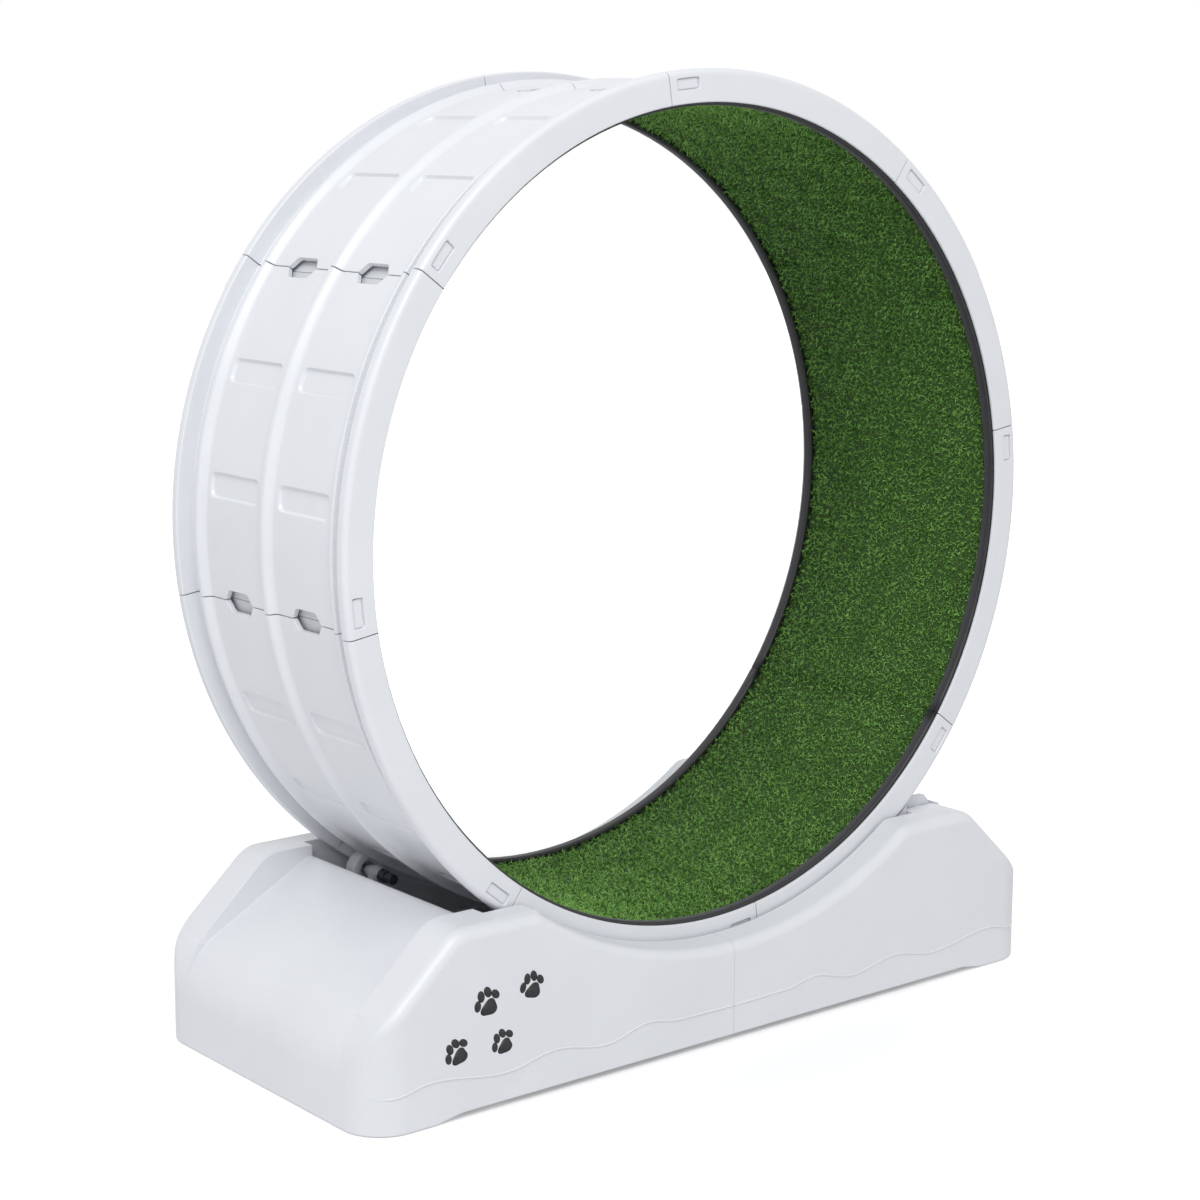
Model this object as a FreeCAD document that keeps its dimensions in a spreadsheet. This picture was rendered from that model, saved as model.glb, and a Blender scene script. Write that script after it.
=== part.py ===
"""Cat exercise wheel: eight moulded ring segments with a turf floor, on four rollers in a two-part base.

Frame: origin on the floor under the middle of the wheel, +Z up, wheel axis along Y, front towards -Y.
"""
import FreeCAD
import Part
import Sketcher
import math
import os

V = FreeCAD.Vector
doc = FreeCAD.newDocument("cat_exercise_wheel")

# ---------------------------------------------------------------- driving dimensions (mm and degrees)
SIZES = [
    ("wheel_radius", 500.0, "outer radius of the two flanges"),
    ("wheel_width", 344.0, "wheel width over both rim faces"),
    ("wheel_lift", 98.0, "lowest point of the wheel above the floor"),
    ("rim_height", 36.3, "height of the white rim face, from the flange inwards"),
    ("rim_wall", 4.0, "wall thickness of the rim face and the flange"),
    ("rim_rounding", 6.0, "rounding of the flange's outer edge"),
    ("segment_count", 8.0, "moulded segments in the ring"),
    ("joint_angle", 8.87, "first joint, seen from the front, from +X towards +Z"),
    ("joint_gap", 0.8, "gap between two segments"),
    ("flange_width", 14.5, "width of the flange's top"),
    ("track_width", 20.5, "width of the roller track"),
    ("track_depth", 20.0, "depth of the roller track below the flange"),
    ("wall_draft", 0.5, "draft of the track's side walls"),
    ("ridge_width", 6.0, "width of the ridge beside the track"),
    ("ridge_drop", 9.0, "top of the ridges and of the middle rib below the flange"),
    ("ridge_slope", 7.0, "width of the ridge's slope down to the panel"),
    ("panel_drop", 17.0, "depth of the panels below the flange"),
    ("panel_skin", 6.0, "thickness of the panels"),
    ("rib_top", 9.0, "width of the middle rib's top"),
    ("rib_base", 20.0, "width of the middle rib's foot"),
    ("slot_wall", 4.0, "wall between the track and the tongue slot"),
    ("slot_floor", 3.5, "material between the track's radius and the tongue slot"),
    ("window_centre", 67.0, "distance of a joint window from the wheel's middle plane"),
    ("window_width", 57.0, "joint window, point to point along the axis"),
    ("window_edge", 37.0, "joint window, straight edge"),
    ("window_length", 25.0, "joint window, around the wheel"),
    ("dimple_centre", 68.0, "distance of a panel dimple from the middle plane"),
    ("dimple_width", 96.0, "panel dimple along the axis"),
    ("dimple_length", 28.0, "panel dimple around the wheel"),
    ("dimple_depth", 3.5, "depth of a panel dimple"),
    ("dimple_corner", 6.0, "cut corner of a panel dimple"),
    ("dimple_angle", 7.5, "dimple row from the middle of a segment"),
    ("latch_drop", 15.0, "middle of the latch windows below the flange"),
    ("latch_length", 32.0, "latch window around the wheel"),
    ("latch_height", 13.0, "latch window along the radius"),
    ("latch_angle", 3.1, "latch window's centre from the joint"),
    ("latch_corner", 1.5, "cut corner of a latch window"),
    ("latch_play", 0.5, "play of the latch button in its window"),
    ("latch_recess", 1.2, "latch button below the rim face"),
    ("tongue_play", 0.4, "play of the tongue in its slot"),
    ("tongue_reach", 6.0, "tongue past the joint"),
    ("tongue_root", 4.0, "tongue root inside its own segment"),
    ("tongue_bite", 0.5, "overlap of moulded-on features with their segment"),
    ("floor_drop", 27.0, "floor panels below the flange"),
    ("floor_thickness", 3.0, "thickness of the floor panels"),
    ("seat_gap", 0.3, "gap between curved pieces that seat on each other"),
    ("seat_width", 31.0, "seat of the floor panel, inwards from the flange's foot"),
    ("turf_height", 7.2, "turf mat with its pile"),
    ("turf_seam", 3.0, "open seam of the turf and the trims"),
    ("trim_width", 13.7, "width of the rubber edge trims"),
    ("trim_height", 9.4, "height of the rubber edge trims"),
    ("trim_rounding", 3.0, "rounding of the trims' inner edges"),
    ("floor_screw_angle", 14.0, "floor screws from the middle of a segment"),
    ("floor_screw_radius", 1.7, "shank radius of the floor screws"),
    ("floor_screw_depth", 5.4, "floor screw hole in the segment"),
    ("floor_screw_head", 3.6, "radius of the floor screw heads"),
    ("floor_screw_sink", 1.8, "depth of the sunk floor screw heads"),
    ("screw_play", 0.1, "play of the screws in their holes"),
    ("roller_radius", 23.5, "outer radius of the rollers"),
    ("roller_width", 18.0, "width of the rollers"),
    ("roller_angle", 31.4, "roller from the bottom of the wheel"),
    ("roller_gap", 0.3, "running gap between roller and track"),
    ("roller_bore", 10.0, "bore of the roller beside its bearing"),
    ("roller_rounding", 2.0, "rounding of the roller's edges"),
    ("bearing_radius", 11.0, "outer radius of the ball bearing"),
    ("bearing_width", 7.0, "width of the ball bearing"),
    ("bearing_fit", 0.03, "radial fit of the bearing"),
    ("race_wall", 1.9, "wall of the outer race"),
    ("ball_radius", 1.55, "radius of a bearing ball"),
    ("ball_play", 0.05, "play of the balls in their races"),
    ("ball_count", 7.0, "balls in a bearing"),
    ("bolt_radius", 4.0, "radius of the roller bolts"),
    ("bolt_head_radius", 6.5, "radius of the roller bolt heads"),
    ("bolt_head_height", 4.4, "height of the roller bolt heads"),
    ("washer_radius", 8.0, "radius of the washers"),
    ("washer_height", 1.6, "thickness of the washers"),
    ("nut_radius", 7.5, "corner radius of the nuts"),
    ("nut_height", 8.0, "height of the nuts"),
    ("cap_gap", 2.0, "bare bolt between nut and end cap"),
    ("cap_radius", 6.5, "radius of the end caps"),
    ("cap_height", 14.0, "length of the end caps"),
    ("cap_depth", 10.0, "bolt inside the end cap"),
    ("boss_radius", 8.0, "boss of the roller bracket"),
    ("boss_start", 11.0, "boss from the roller's middle plane"),
    ("boss_length", 22.0, "length of the bracket boss"),
    ("nose_radius", 5.7, "nose of the boss that meets the inner race"),
    ("post_start", 17.0, "bracket post from the roller's middle plane"),
    ("post_thickness", 12.0, "thickness of the bracket post"),
    ("post_head", 9.0, "rounded head of the bracket post"),
    ("post_foot", 30.0, "width of the bracket post at its foot"),
    ("foot_length", 52.0, "bracket foot along X"),
    ("foot_width", 26.0, "bracket foot along Y"),
    ("foot_thickness", 6.0, "thickness of the bracket foot"),
    ("foot_screw_span", 42.0, "distance of a bracket's two screws"),
    ("screw_radius", 2.4, "radius of the bracket and plate screws"),
    ("screw_head_radius", 4.5, "radius of the bracket and plate screw heads"),
    ("screw_head_height", 3.0, "height of the bracket and plate screw heads"),
    ("screw_tip", 2.0, "bracket screws below the deck"),
    ("base_length", 1010.0, "length of the base"),
    ("base_width", 430.0, "width of the base over its cheeks"),
    ("seam_gap", 0.4, "gap at the base's middle seam"),
    ("base_lift", 1.5, "underside of the base's ends above the floor"),
    ("arch_height", 7.0, "underside of the base between its ends"),
    ("arch_inset", 120.0, "arch under the base from the base's end"),
    ("arch_run", 35.0, "slope at the arch's end"),
    ("crest_height", 207.0, "top of the cheeks"),
    ("crest_inset", 114.0, "end of the cheeks' crest from the base's end"),
    ("end_height", 101.5, "height where the cheek's slope meets the end"),
    ("saddle_drop", 20.0, "edge of the cheeks' saddle below the flange"),
    ("corner_radius", 50.0, "vertical corners of the base"),
    ("crest_rounding", 40.0, "outer end of the crest"),
    ("shoulder_rounding", 25.0, "inner end of the crest"),
    ("cheek_rounding", 14.0, "rounding of the cheeks' top edges"),
    ("well_play", 3.5, "play between wheel and cheek, each side"),
    ("well_half", 330.0, "half length of the deck"),
    ("deck_height", 80.0, "top of the deck under the wheel"),
    ("deck_thickness", 6.0, "thickness of the deck"),
    ("cover_start", 338.0, "top edge of the end cover"),
    ("cover_top", 194.0, "height of the end cover's top edge"),
    ("cover_end_height", 100.0, "height where the end cover's slope would meet the end"),
    ("cover_half", 157.0, "half width of the end cover"),
    ("cover_wall", 8.0, "thickness of the end cover, measured upright"),
    ("cover_bend", 80.0, "bend radius between the end cover and the end wall"),
    ("base_wall", 8.0, "walls of the base"),
    ("cheek_roof", 12.0, "roof over the cheeks' hollows"),
    ("cheek_hollow_inset", 81.0, "end of the cheeks' hollows from the base's end"),
    ("pad_radius", 19.0, "radius of the rubber feet"),
    ("pad_height", 4.0, "height of the rubber feet"),
    ("pad_inset_x", 53.0, "rubber feet from the base's end"),
    ("pad_inset_y", 33.0, "rubber feet from the base's side"),
    ("plate_length", 100.0, "joining plate along X"),
    ("plate_width", 240.0, "joining plate along Y"),
    ("plate_thickness", 5.0, "thickness of the joining plate"),
    ("plate_play", 1.0, "play around the joining plate"),
    ("plate_screw_x", 34.0, "joining screws from the seam"),
    ("plate_screw_y", 100.0, "outer joining screws from the middle"),
    ("plate_screw_depth", 4.5, "joining screw hole in the deck"),
    ("slide_middle", 150.0, "stop slide's middle from the wheel's middle plane"),
    ("slide_thickness", 8.0, "thickness of the stop slide"),
    ("slide_bed", 196.0, "underside of the stop slide"),
    ("slide_top", 219.0, "top of the stop slide"),
    ("slide_back", 371.0, "outer end of the stop slide's top"),
    ("slide_travel", 6.0, "travel of the stop slide up to the flange"),
    ("slide_chamfer", 6.0, "cut top corner of the stop slide"),
    ("slide_lean", 8.0, "lean of the stop slide's outer end"),
    ("shoe_back", 3.0, "shoe of the stop slide in front of the well's end"),
    ("shoe_reach", 17.0, "shoe sideways from the slide's middle"),
    ("knob_radius", 5.0, "round boss on the slide"),
    ("knob_height", 2.4, "round boss's height"),
    ("knob_x", 358.0, "round boss along X"),
    ("guide_wall", 4.0, "walls of the slide's guide"),
    ("guide_lip", 6.0, "guide's lip above its bed"),
    ("guide_play", 0.3, "play of the slide in its guide"),
    ("guide_end", 396.0, "outer end of the guide"),
    ("guide_back", 205.0, "top of the guide's end wall"),
    ("guide_back_width", 36.0, "width of the guide's end wall"),
]

sheet = doc.addObject("Spreadsheet::Sheet", "Sizes")
for row, (alias, value, note) in enumerate(SIZES, 1):
    sheet.set("A%d" % row, note)
    sheet.set("B%d" % row, str(value))
    sheet.setAlias("B%d" % row, alias)
doc.recompute()


def written(number):
    """A number as text inside a formula."""
    return number.formula if isinstance(number, Size) else "%.9g" % number


class Size(float):
    """A number that knows the formula over the sheet which gives it."""

    def __new__(cls, value, formula):
        number = super().__new__(cls, value)
        number.formula = formula
        return number

    def __add__(self, other):
        return Size(float(self) + float(other), "(%s + %s)" % (self.formula, written(other)))

    def __radd__(self, other):
        return Size(float(other) + float(self), "(%s + %s)" % (written(other), self.formula))

    def __sub__(self, other):
        return Size(float(self) - float(other), "(%s - %s)" % (self.formula, written(other)))

    def __rsub__(self, other):
        return Size(float(other) - float(self), "(%s - %s)" % (written(other), self.formula))

    def __mul__(self, other):
        return Size(float(self) * float(other), "(%s * %s)" % (self.formula, written(other)))

    def __rmul__(self, other):
        return Size(float(other) * float(self), "(%s * %s)" % (written(other), self.formula))

    def __truediv__(self, other):
        return Size(float(self) / float(other), "(%s / %s)" % (self.formula, written(other)))

    def __rtruediv__(self, other):
        return Size(float(other) / float(self), "(%s / %s)" % (written(other), self.formula))

    def __neg__(self):
        return Size(-float(self), "(0 - %s)" % self.formula)


def sine(angle):
    return Size(math.sin(math.radians(angle)), "sin(%s)" % written(angle))


def cosine(angle):
    return Size(math.cos(math.radians(angle)), "cos(%s)" % written(angle))


def root(number):
    return Size(math.sqrt(number), "sqrt(%s)" % written(number))


class Sheet:
    """The sheet's sizes by name."""


S = Sheet()
for alias, value, note in SIZES:
    setattr(S, alias, Size(sheet.get(alias), "Sizes." + alias))


# ---------------------------------------------------------------- helpers for bodies and features
def bind(thing, path, number):
    """Tie one property of a thing to the sheet."""
    if isinstance(number, Size):
        thing.setExpression(path, number.formula)


def place(thing, x=0.0, y=0.0, z=0.0, axis=V(0, 0, 1), angle=0.0):
    """Move a thing, its place and turn tied to the sheet."""
    thing.Placement = FreeCAD.Placement(V(x, y, z), FreeCAD.Rotation(axis, float(angle)))
    for path, number in (("Base.x", x), ("Base.y", y), ("Base.z", z), ("Rotation.Angle", angle)):
        bind(thing, "Placement." + path, number)


def new_body(name):
    body = doc.addObject("PartDesign::Body", name)
    body.Label = name
    return body


def empty_sketch(body, name, plane, lift=0.0, turn=0.0, side=1):
    """Sketch on a plane, lifted along its normal, or turned about the wheel's axis towards +Z or -Z."""
    sketch = body.newObject("Sketcher::SketchObject", name)
    support = [f for f in body.Origin.OriginFeatures if f.Role == plane][0]
    sketch.AttachmentSupport = (support, [""])
    sketch.MapMode = "FlatFace"
    base = V(0, 0, lift)
    rotation = FreeCAD.Rotation()
    if turn:
        axis = {"YZ_Plane": V(-side, 0, 0), "XY_Plane": V(0, -side, 0)}[plane]
        base = V(0, side * lift * sine(turn), lift * cosine(turn)) if plane == "YZ_Plane" else V()
        rotation = FreeCAD.Rotation(axis, float(turn))
    sketch.AttachmentOffset = FreeCAD.Placement(base, rotation)
    if turn:
        bind(sketch, "AttachmentOffset.Rotation.Angle", turn)
        if plane == "YZ_Plane" and lift:
            bind(sketch, "AttachmentOffset.Base.y", side * lift * sine(turn))
            bind(sketch, "AttachmentOffset.Base.z", lift * cosine(turn))
    else:
        bind(sketch, "AttachmentOffset.Base.z", lift)
    return sketch


def pin(sketch, geometry, vertex, point):
    """Hold a sketch point at its two distances from the sketch's origin."""
    for kind, axis, number in (("DistanceX", -2, point[0]), ("DistanceY", -1, point[1])):
        if number == 0 and not isinstance(number, Size):
            sketch.addConstraint(Sketcher.Constraint("PointOnObject", geometry, vertex, axis))
            continue
        index = sketch.addConstraint(Sketcher.Constraint(kind, -1, 1, geometry, vertex, float(number)))
        bind(sketch, "Constraints[%d]" % index, number)


def bulge(start, end, radius):
    """Arc between two points, bending left of the way to the end where the radius is positive."""
    half = (end - start) * 0.5
    left = V(-half.y, half.x, 0).normalize()
    side = 1 if radius > 0 else -1
    centre = start + half + left * side * math.sqrt(max(float(radius) ** 2 - half.Length ** 2, 0.0))
    middle = centre - left * side * abs(float(radius))
    return Part.Arc(start, middle, end) if side > 0 else Part.Arc(end, middle, start)


def outline(body, name, plane, loops, **frame):
    """Sketch of closed loops of corners; a third number is the radius of the arc that ends in the corner."""
    sketch = empty_sketch(body, name, plane, **frame)
    for loop in loops:
        edges = []
        for index, corner in enumerate(loop):
            before = loop[index - 1]
            start = V(float(before[0]), float(before[1]), 0)
            end = V(float(corner[0]), float(corner[1]), 0)
            curved = len(corner) > 2
            curve = bulge(start, end, corner[2]) if curved else Part.LineSegment(start, end)
            geometry = sketch.addGeometry(curve, False)
            first, last = (2, 1) if curved and corner[2] < 0 else (1, 2)
            edges.append((geometry, first, last))
            pin(sketch, geometry, last, corner)
            if curved:
                radius = corner[2] if corner[2] > 0 else -corner[2]
                held = sketch.addConstraint(Sketcher.Constraint("Radius", geometry, float(radius)))
                bind(sketch, "Constraints[%d]" % held, radius)
        for index, (geometry, first, last) in enumerate(edges):
            before = edges[index - 1]
            sketch.addConstraint(Sketcher.Constraint("Coincident", before[0], before[2], geometry, first))
    return sketch


def circles(body, name, plane, centres, radius, **frame):
    """Sketch of equal circles."""
    sketch = empty_sketch(body, name, plane, **frame)
    for centre in centres:
        middle = V(float(centre[0]), float(centre[1]), 0)
        geometry = sketch.addGeometry(Part.Circle(middle, V(0, 0, 1), float(radius)), False)
        pin(sketch, geometry, 3, centre)
        held = sketch.addConstraint(Sketcher.Constraint("Radius", geometry, float(radius)))
        bind(sketch, "Constraints[%d]" % held, radius)
    return sketch


def feature(body, kind, sketch, prop, amount, symmetric=False, reverse=False):
    """Pad, Pocket, Revolution or Groove of a sketch; the cutting ones have to remove something."""
    before = body.Shape.Volume if body.Tip else 0.0
    made = body.newObject("PartDesign::" + kind, "%s_%s" % (kind.lower(), sketch.Name))
    made.Profile = sketch
    if kind in ("Revolution", "Groove"):
        made.ReferenceAxis = (sketch, ["V_Axis"])
    setattr(made, prop, float(amount))
    bind(made, prop, amount)
    made.Midplane = symmetric
    made.Reversed = reverse
    sketch.Visibility = False
    doc.recompute()
    if kind in ("Pocket", "Groove") and not made.Shape.Volume < before - 1e-3:
        raise RuntimeError("%s cuts nothing" % made.Name)
    return made


def pad(body, sketch, length, **way):
    return feature(body, "Pad", sketch, "Length", length, **way)


def pocket(body, sketch, length, **way):
    return feature(body, "Pocket", sketch, "Length", length, **way)


def spin(body, sketch, angle=360.0, **way):
    return feature(body, "Revolution", sketch, "Angle", angle, **way)


def round_edges(body, name, radius, chosen):
    """Round the edges of the body's last feature that the test chooses."""
    base = body.Tip
    names = ["Edge%d" % (i + 1) for i, edge in enumerate(base.Shape.Edges) if chosen(edge)]
    if not names:
        raise RuntimeError("%s finds no edge" % name)
    made = body.newObject("PartDesign::Fillet", name)
    made.Base = (base, names)
    made.Radius = float(radius)
    bind(made, "Radius", radius)
    doc.recompute()
    return made


def near(number, target, reach=0.3):
    return abs(number - target) < reach


def is_ring(edge, radius, y):
    """Whether an edge is an arc about the Y axis of this radius at this place."""
    return (hasattr(edge.Curve, "Radius") and near(edge.Curve.Radius, radius)
            and near(edge.BoundBox.YMin, y) and near(edge.BoundBox.YMax, y))


def block(x0, x1, y0, y1):
    return [(x0, y0), (x1, y0), (x1, y1), (x0, y1)]


def cut_corners(width, height, corner):
    """Rectangle about the origin with its four corners cut off."""
    w, h = width / 2, height / 2
    return [(w, h - corner), (w - corner, h), (corner - w, h), (-w, h - corner),
            (-w, corner - h), (corner - w, -h), (w - corner, -h), (w, corner - h)]


def shifted(loop, x):
    return [(a + x, b) for a, b in loop]


def polar(loop, radius, angle, side):
    """A loop's first numbers laid around the wheel, its second numbers along the radius, seen in X and Z."""
    turned = []
    for around, out in loop:
        x = (radius + out) * cosine(angle) - around * sine(angle)
        z = (radius + out) * sine(angle) + around * cosine(angle)
        turned.append((x, side * z))
    return turned


PARTS = []


def keep(thing):
    """Count a thing among the pieces that are written out."""
    PARTS.append(thing)
    return thing


def copy_of(form, name, **where):
    """A piece of the same shape as a form, in its own place."""
    body = new_body(name)
    body.BaseFeature = form
    place(body, **where)
    return keep(body)


def group(name, form, places):
    """Equal fasteners or feet as one group of separate solids."""
    solids = []
    for position, rotation in places:
        solid = form.Shape.copy()
        solid.Placement = FreeCAD.Placement(position, rotation) * solid.Placement
        solids.append(solid)
    thing = doc.addObject("Part::Feature", name)
    thing.Label = name
    thing.Shape = Part.makeCompound(solids)
    return keep(thing)


# ---------------------------------------------------------------- places shared by several pieces
DEGREES = 180 / math.pi
half_width = S.wheel_width / 2
half_pitch = 180 / S.segment_count
segment_span = 360 / S.segment_count - S.joint_gap / S.wheel_radius * DEGREES

flange_foot = half_width - S.flange_width
track_outer = flange_foot - S.wall_draft
track_inner = track_outer - S.track_width
track_middle = (track_outer + track_inner) / 2
ridge_outer = track_inner - S.wall_draft
ridge_inner = ridge_outer - S.ridge_width
panel_edge = ridge_inner - S.ridge_slope
wall_inside = half_width - S.rim_wall
seat_inner = flange_foot - S.seat_width

axle_height = S.wheel_radius + S.wheel_lift
rim_inner_radius = S.wheel_radius - S.rim_height
latch_radius = S.wheel_radius - S.latch_drop
floor_radius = S.wheel_radius - S.floor_drop
saddle_radius = S.wheel_radius - S.saddle_drop
track_radius = S.wheel_radius - S.track_depth
ridge_radius = S.wheel_radius - S.ridge_drop
panel_radius = S.wheel_radius - S.panel_drop
skin_radius = panel_radius - S.panel_skin
seat_radius = floor_radius + S.seat_gap
slot_low = track_radius - S.slot_floor
slot_high = S.wheel_radius - S.rim_wall
slot_inner = flange_foot + S.slot_wall

roller_distance = track_radius + S.roller_gap + S.roller_radius
roller_x = roller_distance * sine(S.roller_angle)
roller_z = axle_height - roller_distance * cosine(S.roller_angle)
CORNERS = [("front_left", -1, -1), ("front_right", 1, -1), ("rear_left", -1, 1), ("rear_right", 1, 1)]


# ---------------------------------------------------------------- wheel segments
def both_sides(loop):
    """Corners in one half of the wheel's section, joined with their mirror image."""
    return loop + [(r, -y) for r, y in reversed(loop)]


def slot_loops(margin):
    """The two tongue slots in the section, grown by a margin."""
    loop = block(slot_low - margin, slot_high + margin, slot_inner - margin, wall_inside + margin)
    return [loop, [(r, -y) for r, y in reversed(loop)]]


def make_segment():
    body = new_body("segment_form")
    section = both_sides([
        (ridge_radius, S.rib_top / 2), (panel_radius, S.rib_base / 2), (panel_radius, panel_edge),
        (ridge_radius, ridge_inner), (ridge_radius, ridge_outer), (track_radius, track_inner),
        (track_radius, track_outer), (S.wheel_radius, flange_foot), (S.wheel_radius, half_width),
        (rim_inner_radius, half_width), (rim_inner_radius, wall_inside), (seat_radius, wall_inside),
        (seat_radius, seat_inner), (skin_radius, seat_inner)])
    sketch = outline(body, "ring_section", "XY_Plane", [section] + slot_loops(0))
    spin(body, sketch, segment_span, symmetric=True)
    round_edges(body, "flange_rounding", S.rim_rounding,
                lambda edge: (is_ring(edge, S.wheel_radius, half_width)
                              or is_ring(edge, S.wheel_radius, -half_width)))
    add_openings(body)
    add_tongues(body)
    return body


def add_openings(body):
    """Half windows at both ends, dimples in the panels, screw holes and latch windows."""
    hexagon = [(-S.window_width / 2, 0), (-S.window_edge / 2, -S.window_length / 2),
               (S.window_edge / 2, -S.window_length / 2), (S.window_width / 2, 0),
               (S.window_edge / 2, S.window_length / 2), (-S.window_edge / 2, S.window_length / 2)]
    windows = [shifted(hexagon, S.window_centre), shifted(hexagon, -S.window_centre)]
    dimple = cut_corners(S.dimple_width, S.dimple_length, S.dimple_corner)
    dimples = [shifted(dimple, S.dimple_centre), shifted(dimple, -S.dimple_centre)]
    holes = [(track_middle, 0), (-track_middle, 0)]
    for side, end in ((1, "end"), (-1, "start")):
        sketch = outline(body, "windows_" + end, "YZ_Plane", windows, turn=half_pitch, side=side)
        pocket(body, sketch, S.wheel_radius, reverse=True)
        sketch = outline(body, "dimples_" + end, "YZ_Plane", dimples, turn=S.dimple_angle, side=side,
                         lift=panel_radius - S.dimple_depth)
        pocket(body, sketch, S.panel_drop, reverse=True)
        sketch = circles(body, "screw_holes_" + end, "YZ_Plane", holes, S.floor_screw_radius + S.screw_play,
                         turn=S.floor_screw_angle, side=side)
        pocket(body, sketch, floor_radius + S.floor_screw_depth, reverse=True)
    window = polar(cut_corners(S.latch_length, S.latch_height, S.latch_corner),
                   latch_radius, half_pitch - S.latch_angle, 1)
    for side, face in ((1, "front"), (-1, "rear")):
        sketch = outline(body, "latch_window_" + face, "XZ_Plane", [window], lift=side * half_width)
        pocket(body, sketch, S.rim_wall + S.tongue_play, reverse=side < 0)


def add_tongues(body):
    """Snap tongues at the starting end, which run in the next segment's slots."""
    sketch = outline(body, "tongue_roots", "XY_Plane", slot_loops(S.tongue_bite),
                     turn=half_pitch - S.tongue_root / 2, side=-1)
    spin(body, sketch, S.tongue_root, symmetric=True)
    sketch = outline(body, "tongues", "XY_Plane", slot_loops(-S.tongue_play),
                     turn=half_pitch + S.tongue_reach / 2 - S.tongue_root / 4, side=-1)
    spin(body, sketch, S.tongue_reach + S.tongue_root / 2, symmetric=True)
    button_length = S.latch_length - 2 * S.latch_play
    button_height = S.latch_height - 2 * S.latch_play
    button = polar(cut_corners(button_length, button_height, S.latch_corner),
                   latch_radius, half_pitch + S.latch_angle, -1)
    depth = S.rim_wall - S.latch_recess + S.tongue_play + S.tongue_bite
    for side, face in ((1, "front"), (-1, "rear")):
        sketch = outline(body, "latch_button_" + face, "XZ_Plane", [button],
                         lift=side * (half_width - S.latch_recess))
        pad(body, sketch, depth, reverse=side > 0)


def make_floor_panel():
    """Inner running floor of one segment, with sunk screw holes."""
    body = new_body("floor_form")
    edge = wall_inside - S.seat_gap
    section = block(floor_radius - S.floor_thickness, floor_radius, -edge, edge)
    spin(body, outline(body, "floor_section", "XY_Plane", [section]), segment_span, symmetric=True)
    holes = [(track_middle, 0), (-track_middle, 0)]
    for side, end in ((1, "end"), (-1, "start")):
        frame = {"turn": S.floor_screw_angle, "side": side}
        shank_hole = S.floor_screw_radius + S.screw_play
        head_hole = S.floor_screw_head + S.screw_play
        sketch = circles(body, "floor_holes_" + end, "YZ_Plane", holes, shank_hole, **frame)
        pocket(body, sketch, S.wheel_radius, reverse=True)
        sketch = circles(body, "head_sinks_" + end, "YZ_Plane", holes, head_hole, **frame)
        pocket(body, sketch, floor_radius - S.floor_thickness + S.floor_screw_sink, reverse=True)
    return body


def make_screw(name, head, head_height, shank, length):
    """Screw along +Y, its head's outer face at the origin."""
    body = new_body(name)
    profile = [(0, 0), (head, 0), (head, head_height), (shank, head_height), (shank, length), (0, length)]
    spin(body, outline(body, name + "_section", "XY_Plane", [profile]))
    return body


def segment_middle(index):
    """Angle of a segment's middle, seen from the front, from +X towards +Z."""
    return S.joint_angle + half_pitch + (index - 1) * 2 * half_pitch


segment_form = make_segment()
floor_form = make_floor_panel()
for index in range(1, int(S.segment_count) + 1):
    where = {"z": axle_height, "axis": V(0, -1, 0), "angle": segment_middle(index)}
    copy_of(segment_form, "wheel_segment_%d" % index, **where)
    copy_of(floor_form, "floor_panel_%d" % index, **where)

floor_screw_form = make_screw("floor_screw_form", S.floor_screw_head, S.floor_screw_sink - S.screw_play,
                              S.floor_screw_radius, S.floor_thickness + S.floor_screw_depth - S.screw_play)


def floor_screw_places():
    """Screws point outwards, their heads sunk in the floor panels."""
    start = float(floor_radius - S.floor_thickness)
    for index in range(1, int(S.segment_count) + 1):
        for side in (-1, 1):
            angle = float(segment_middle(index) + side * S.floor_screw_angle)
            turn = FreeCAD.Rotation(V(0, -1, 0), angle)
            outwards = turn.multVec(V(1, 0, 0))
            for y in (-float(track_middle), float(track_middle)):
                position = V(0, y, float(axle_height)) + outwards * start
                yield position, FreeCAD.Rotation(V(0, 1, 0), outwards)


group("floor_screws", floor_screw_form, floor_screw_places())


# ---------------------------------------------------------------- turf mat and edge trims
turf_outer = floor_radius - S.floor_thickness - S.seat_gap
seam_span = 360 - S.turf_seam / rim_inner_radius * DEGREES
seam_opposite = S.joint_angle - 2 * half_pitch + 180


def make_turf():
    """Grass mat, laid round the floor panels with its seam at a joint."""
    body = new_body("turf_mat")
    edge = wall_inside - S.seat_gap - S.trim_width - S.seat_gap
    section = block(turf_outer - S.turf_height, turf_outer, -edge, edge)
    spin(body, outline(body, "turf_section", "XY_Plane", [section]), seam_span, symmetric=True)
    place(body, z=axle_height, axis=V(0, -1, 0), angle=seam_opposite)
    return keep(body)


def make_trim(name, side):
    """Rubber strip in the corner between floor and rim face, one on each side."""
    body = new_body(name)
    outer = wall_inside - S.seat_gap
    inner = outer - S.trim_width
    section = block(turf_outer - S.trim_height, turf_outer, side * inner, side * outer)
    spin(body, outline(body, name + "_section", "XY_Plane", [section]), seam_span, symmetric=True)
    top = turf_outer - S.trim_height
    round_edges(body, name + "_rounding", S.trim_rounding,
                lambda edge: is_ring(edge, top, side * inner) or is_ring(edge, top, side * outer))
    place(body, z=axle_height, axis=V(0, -1, 0), angle=seam_opposite)
    return keep(body)


make_turf()
make_trim("edge_trim_front", -1)
make_trim("edge_trim_rear", 1)


# ---------------------------------------------------------------- rollers with their bearings
half_bearing = S.bearing_width / 2
race_inside = S.bearing_radius - S.race_wall
ball_path = race_inside - S.ball_play - S.ball_radius
inner_race_radius = ball_path - S.ball_radius - S.ball_play
bolt_hole = S.bolt_radius + S.bearing_fit


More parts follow.
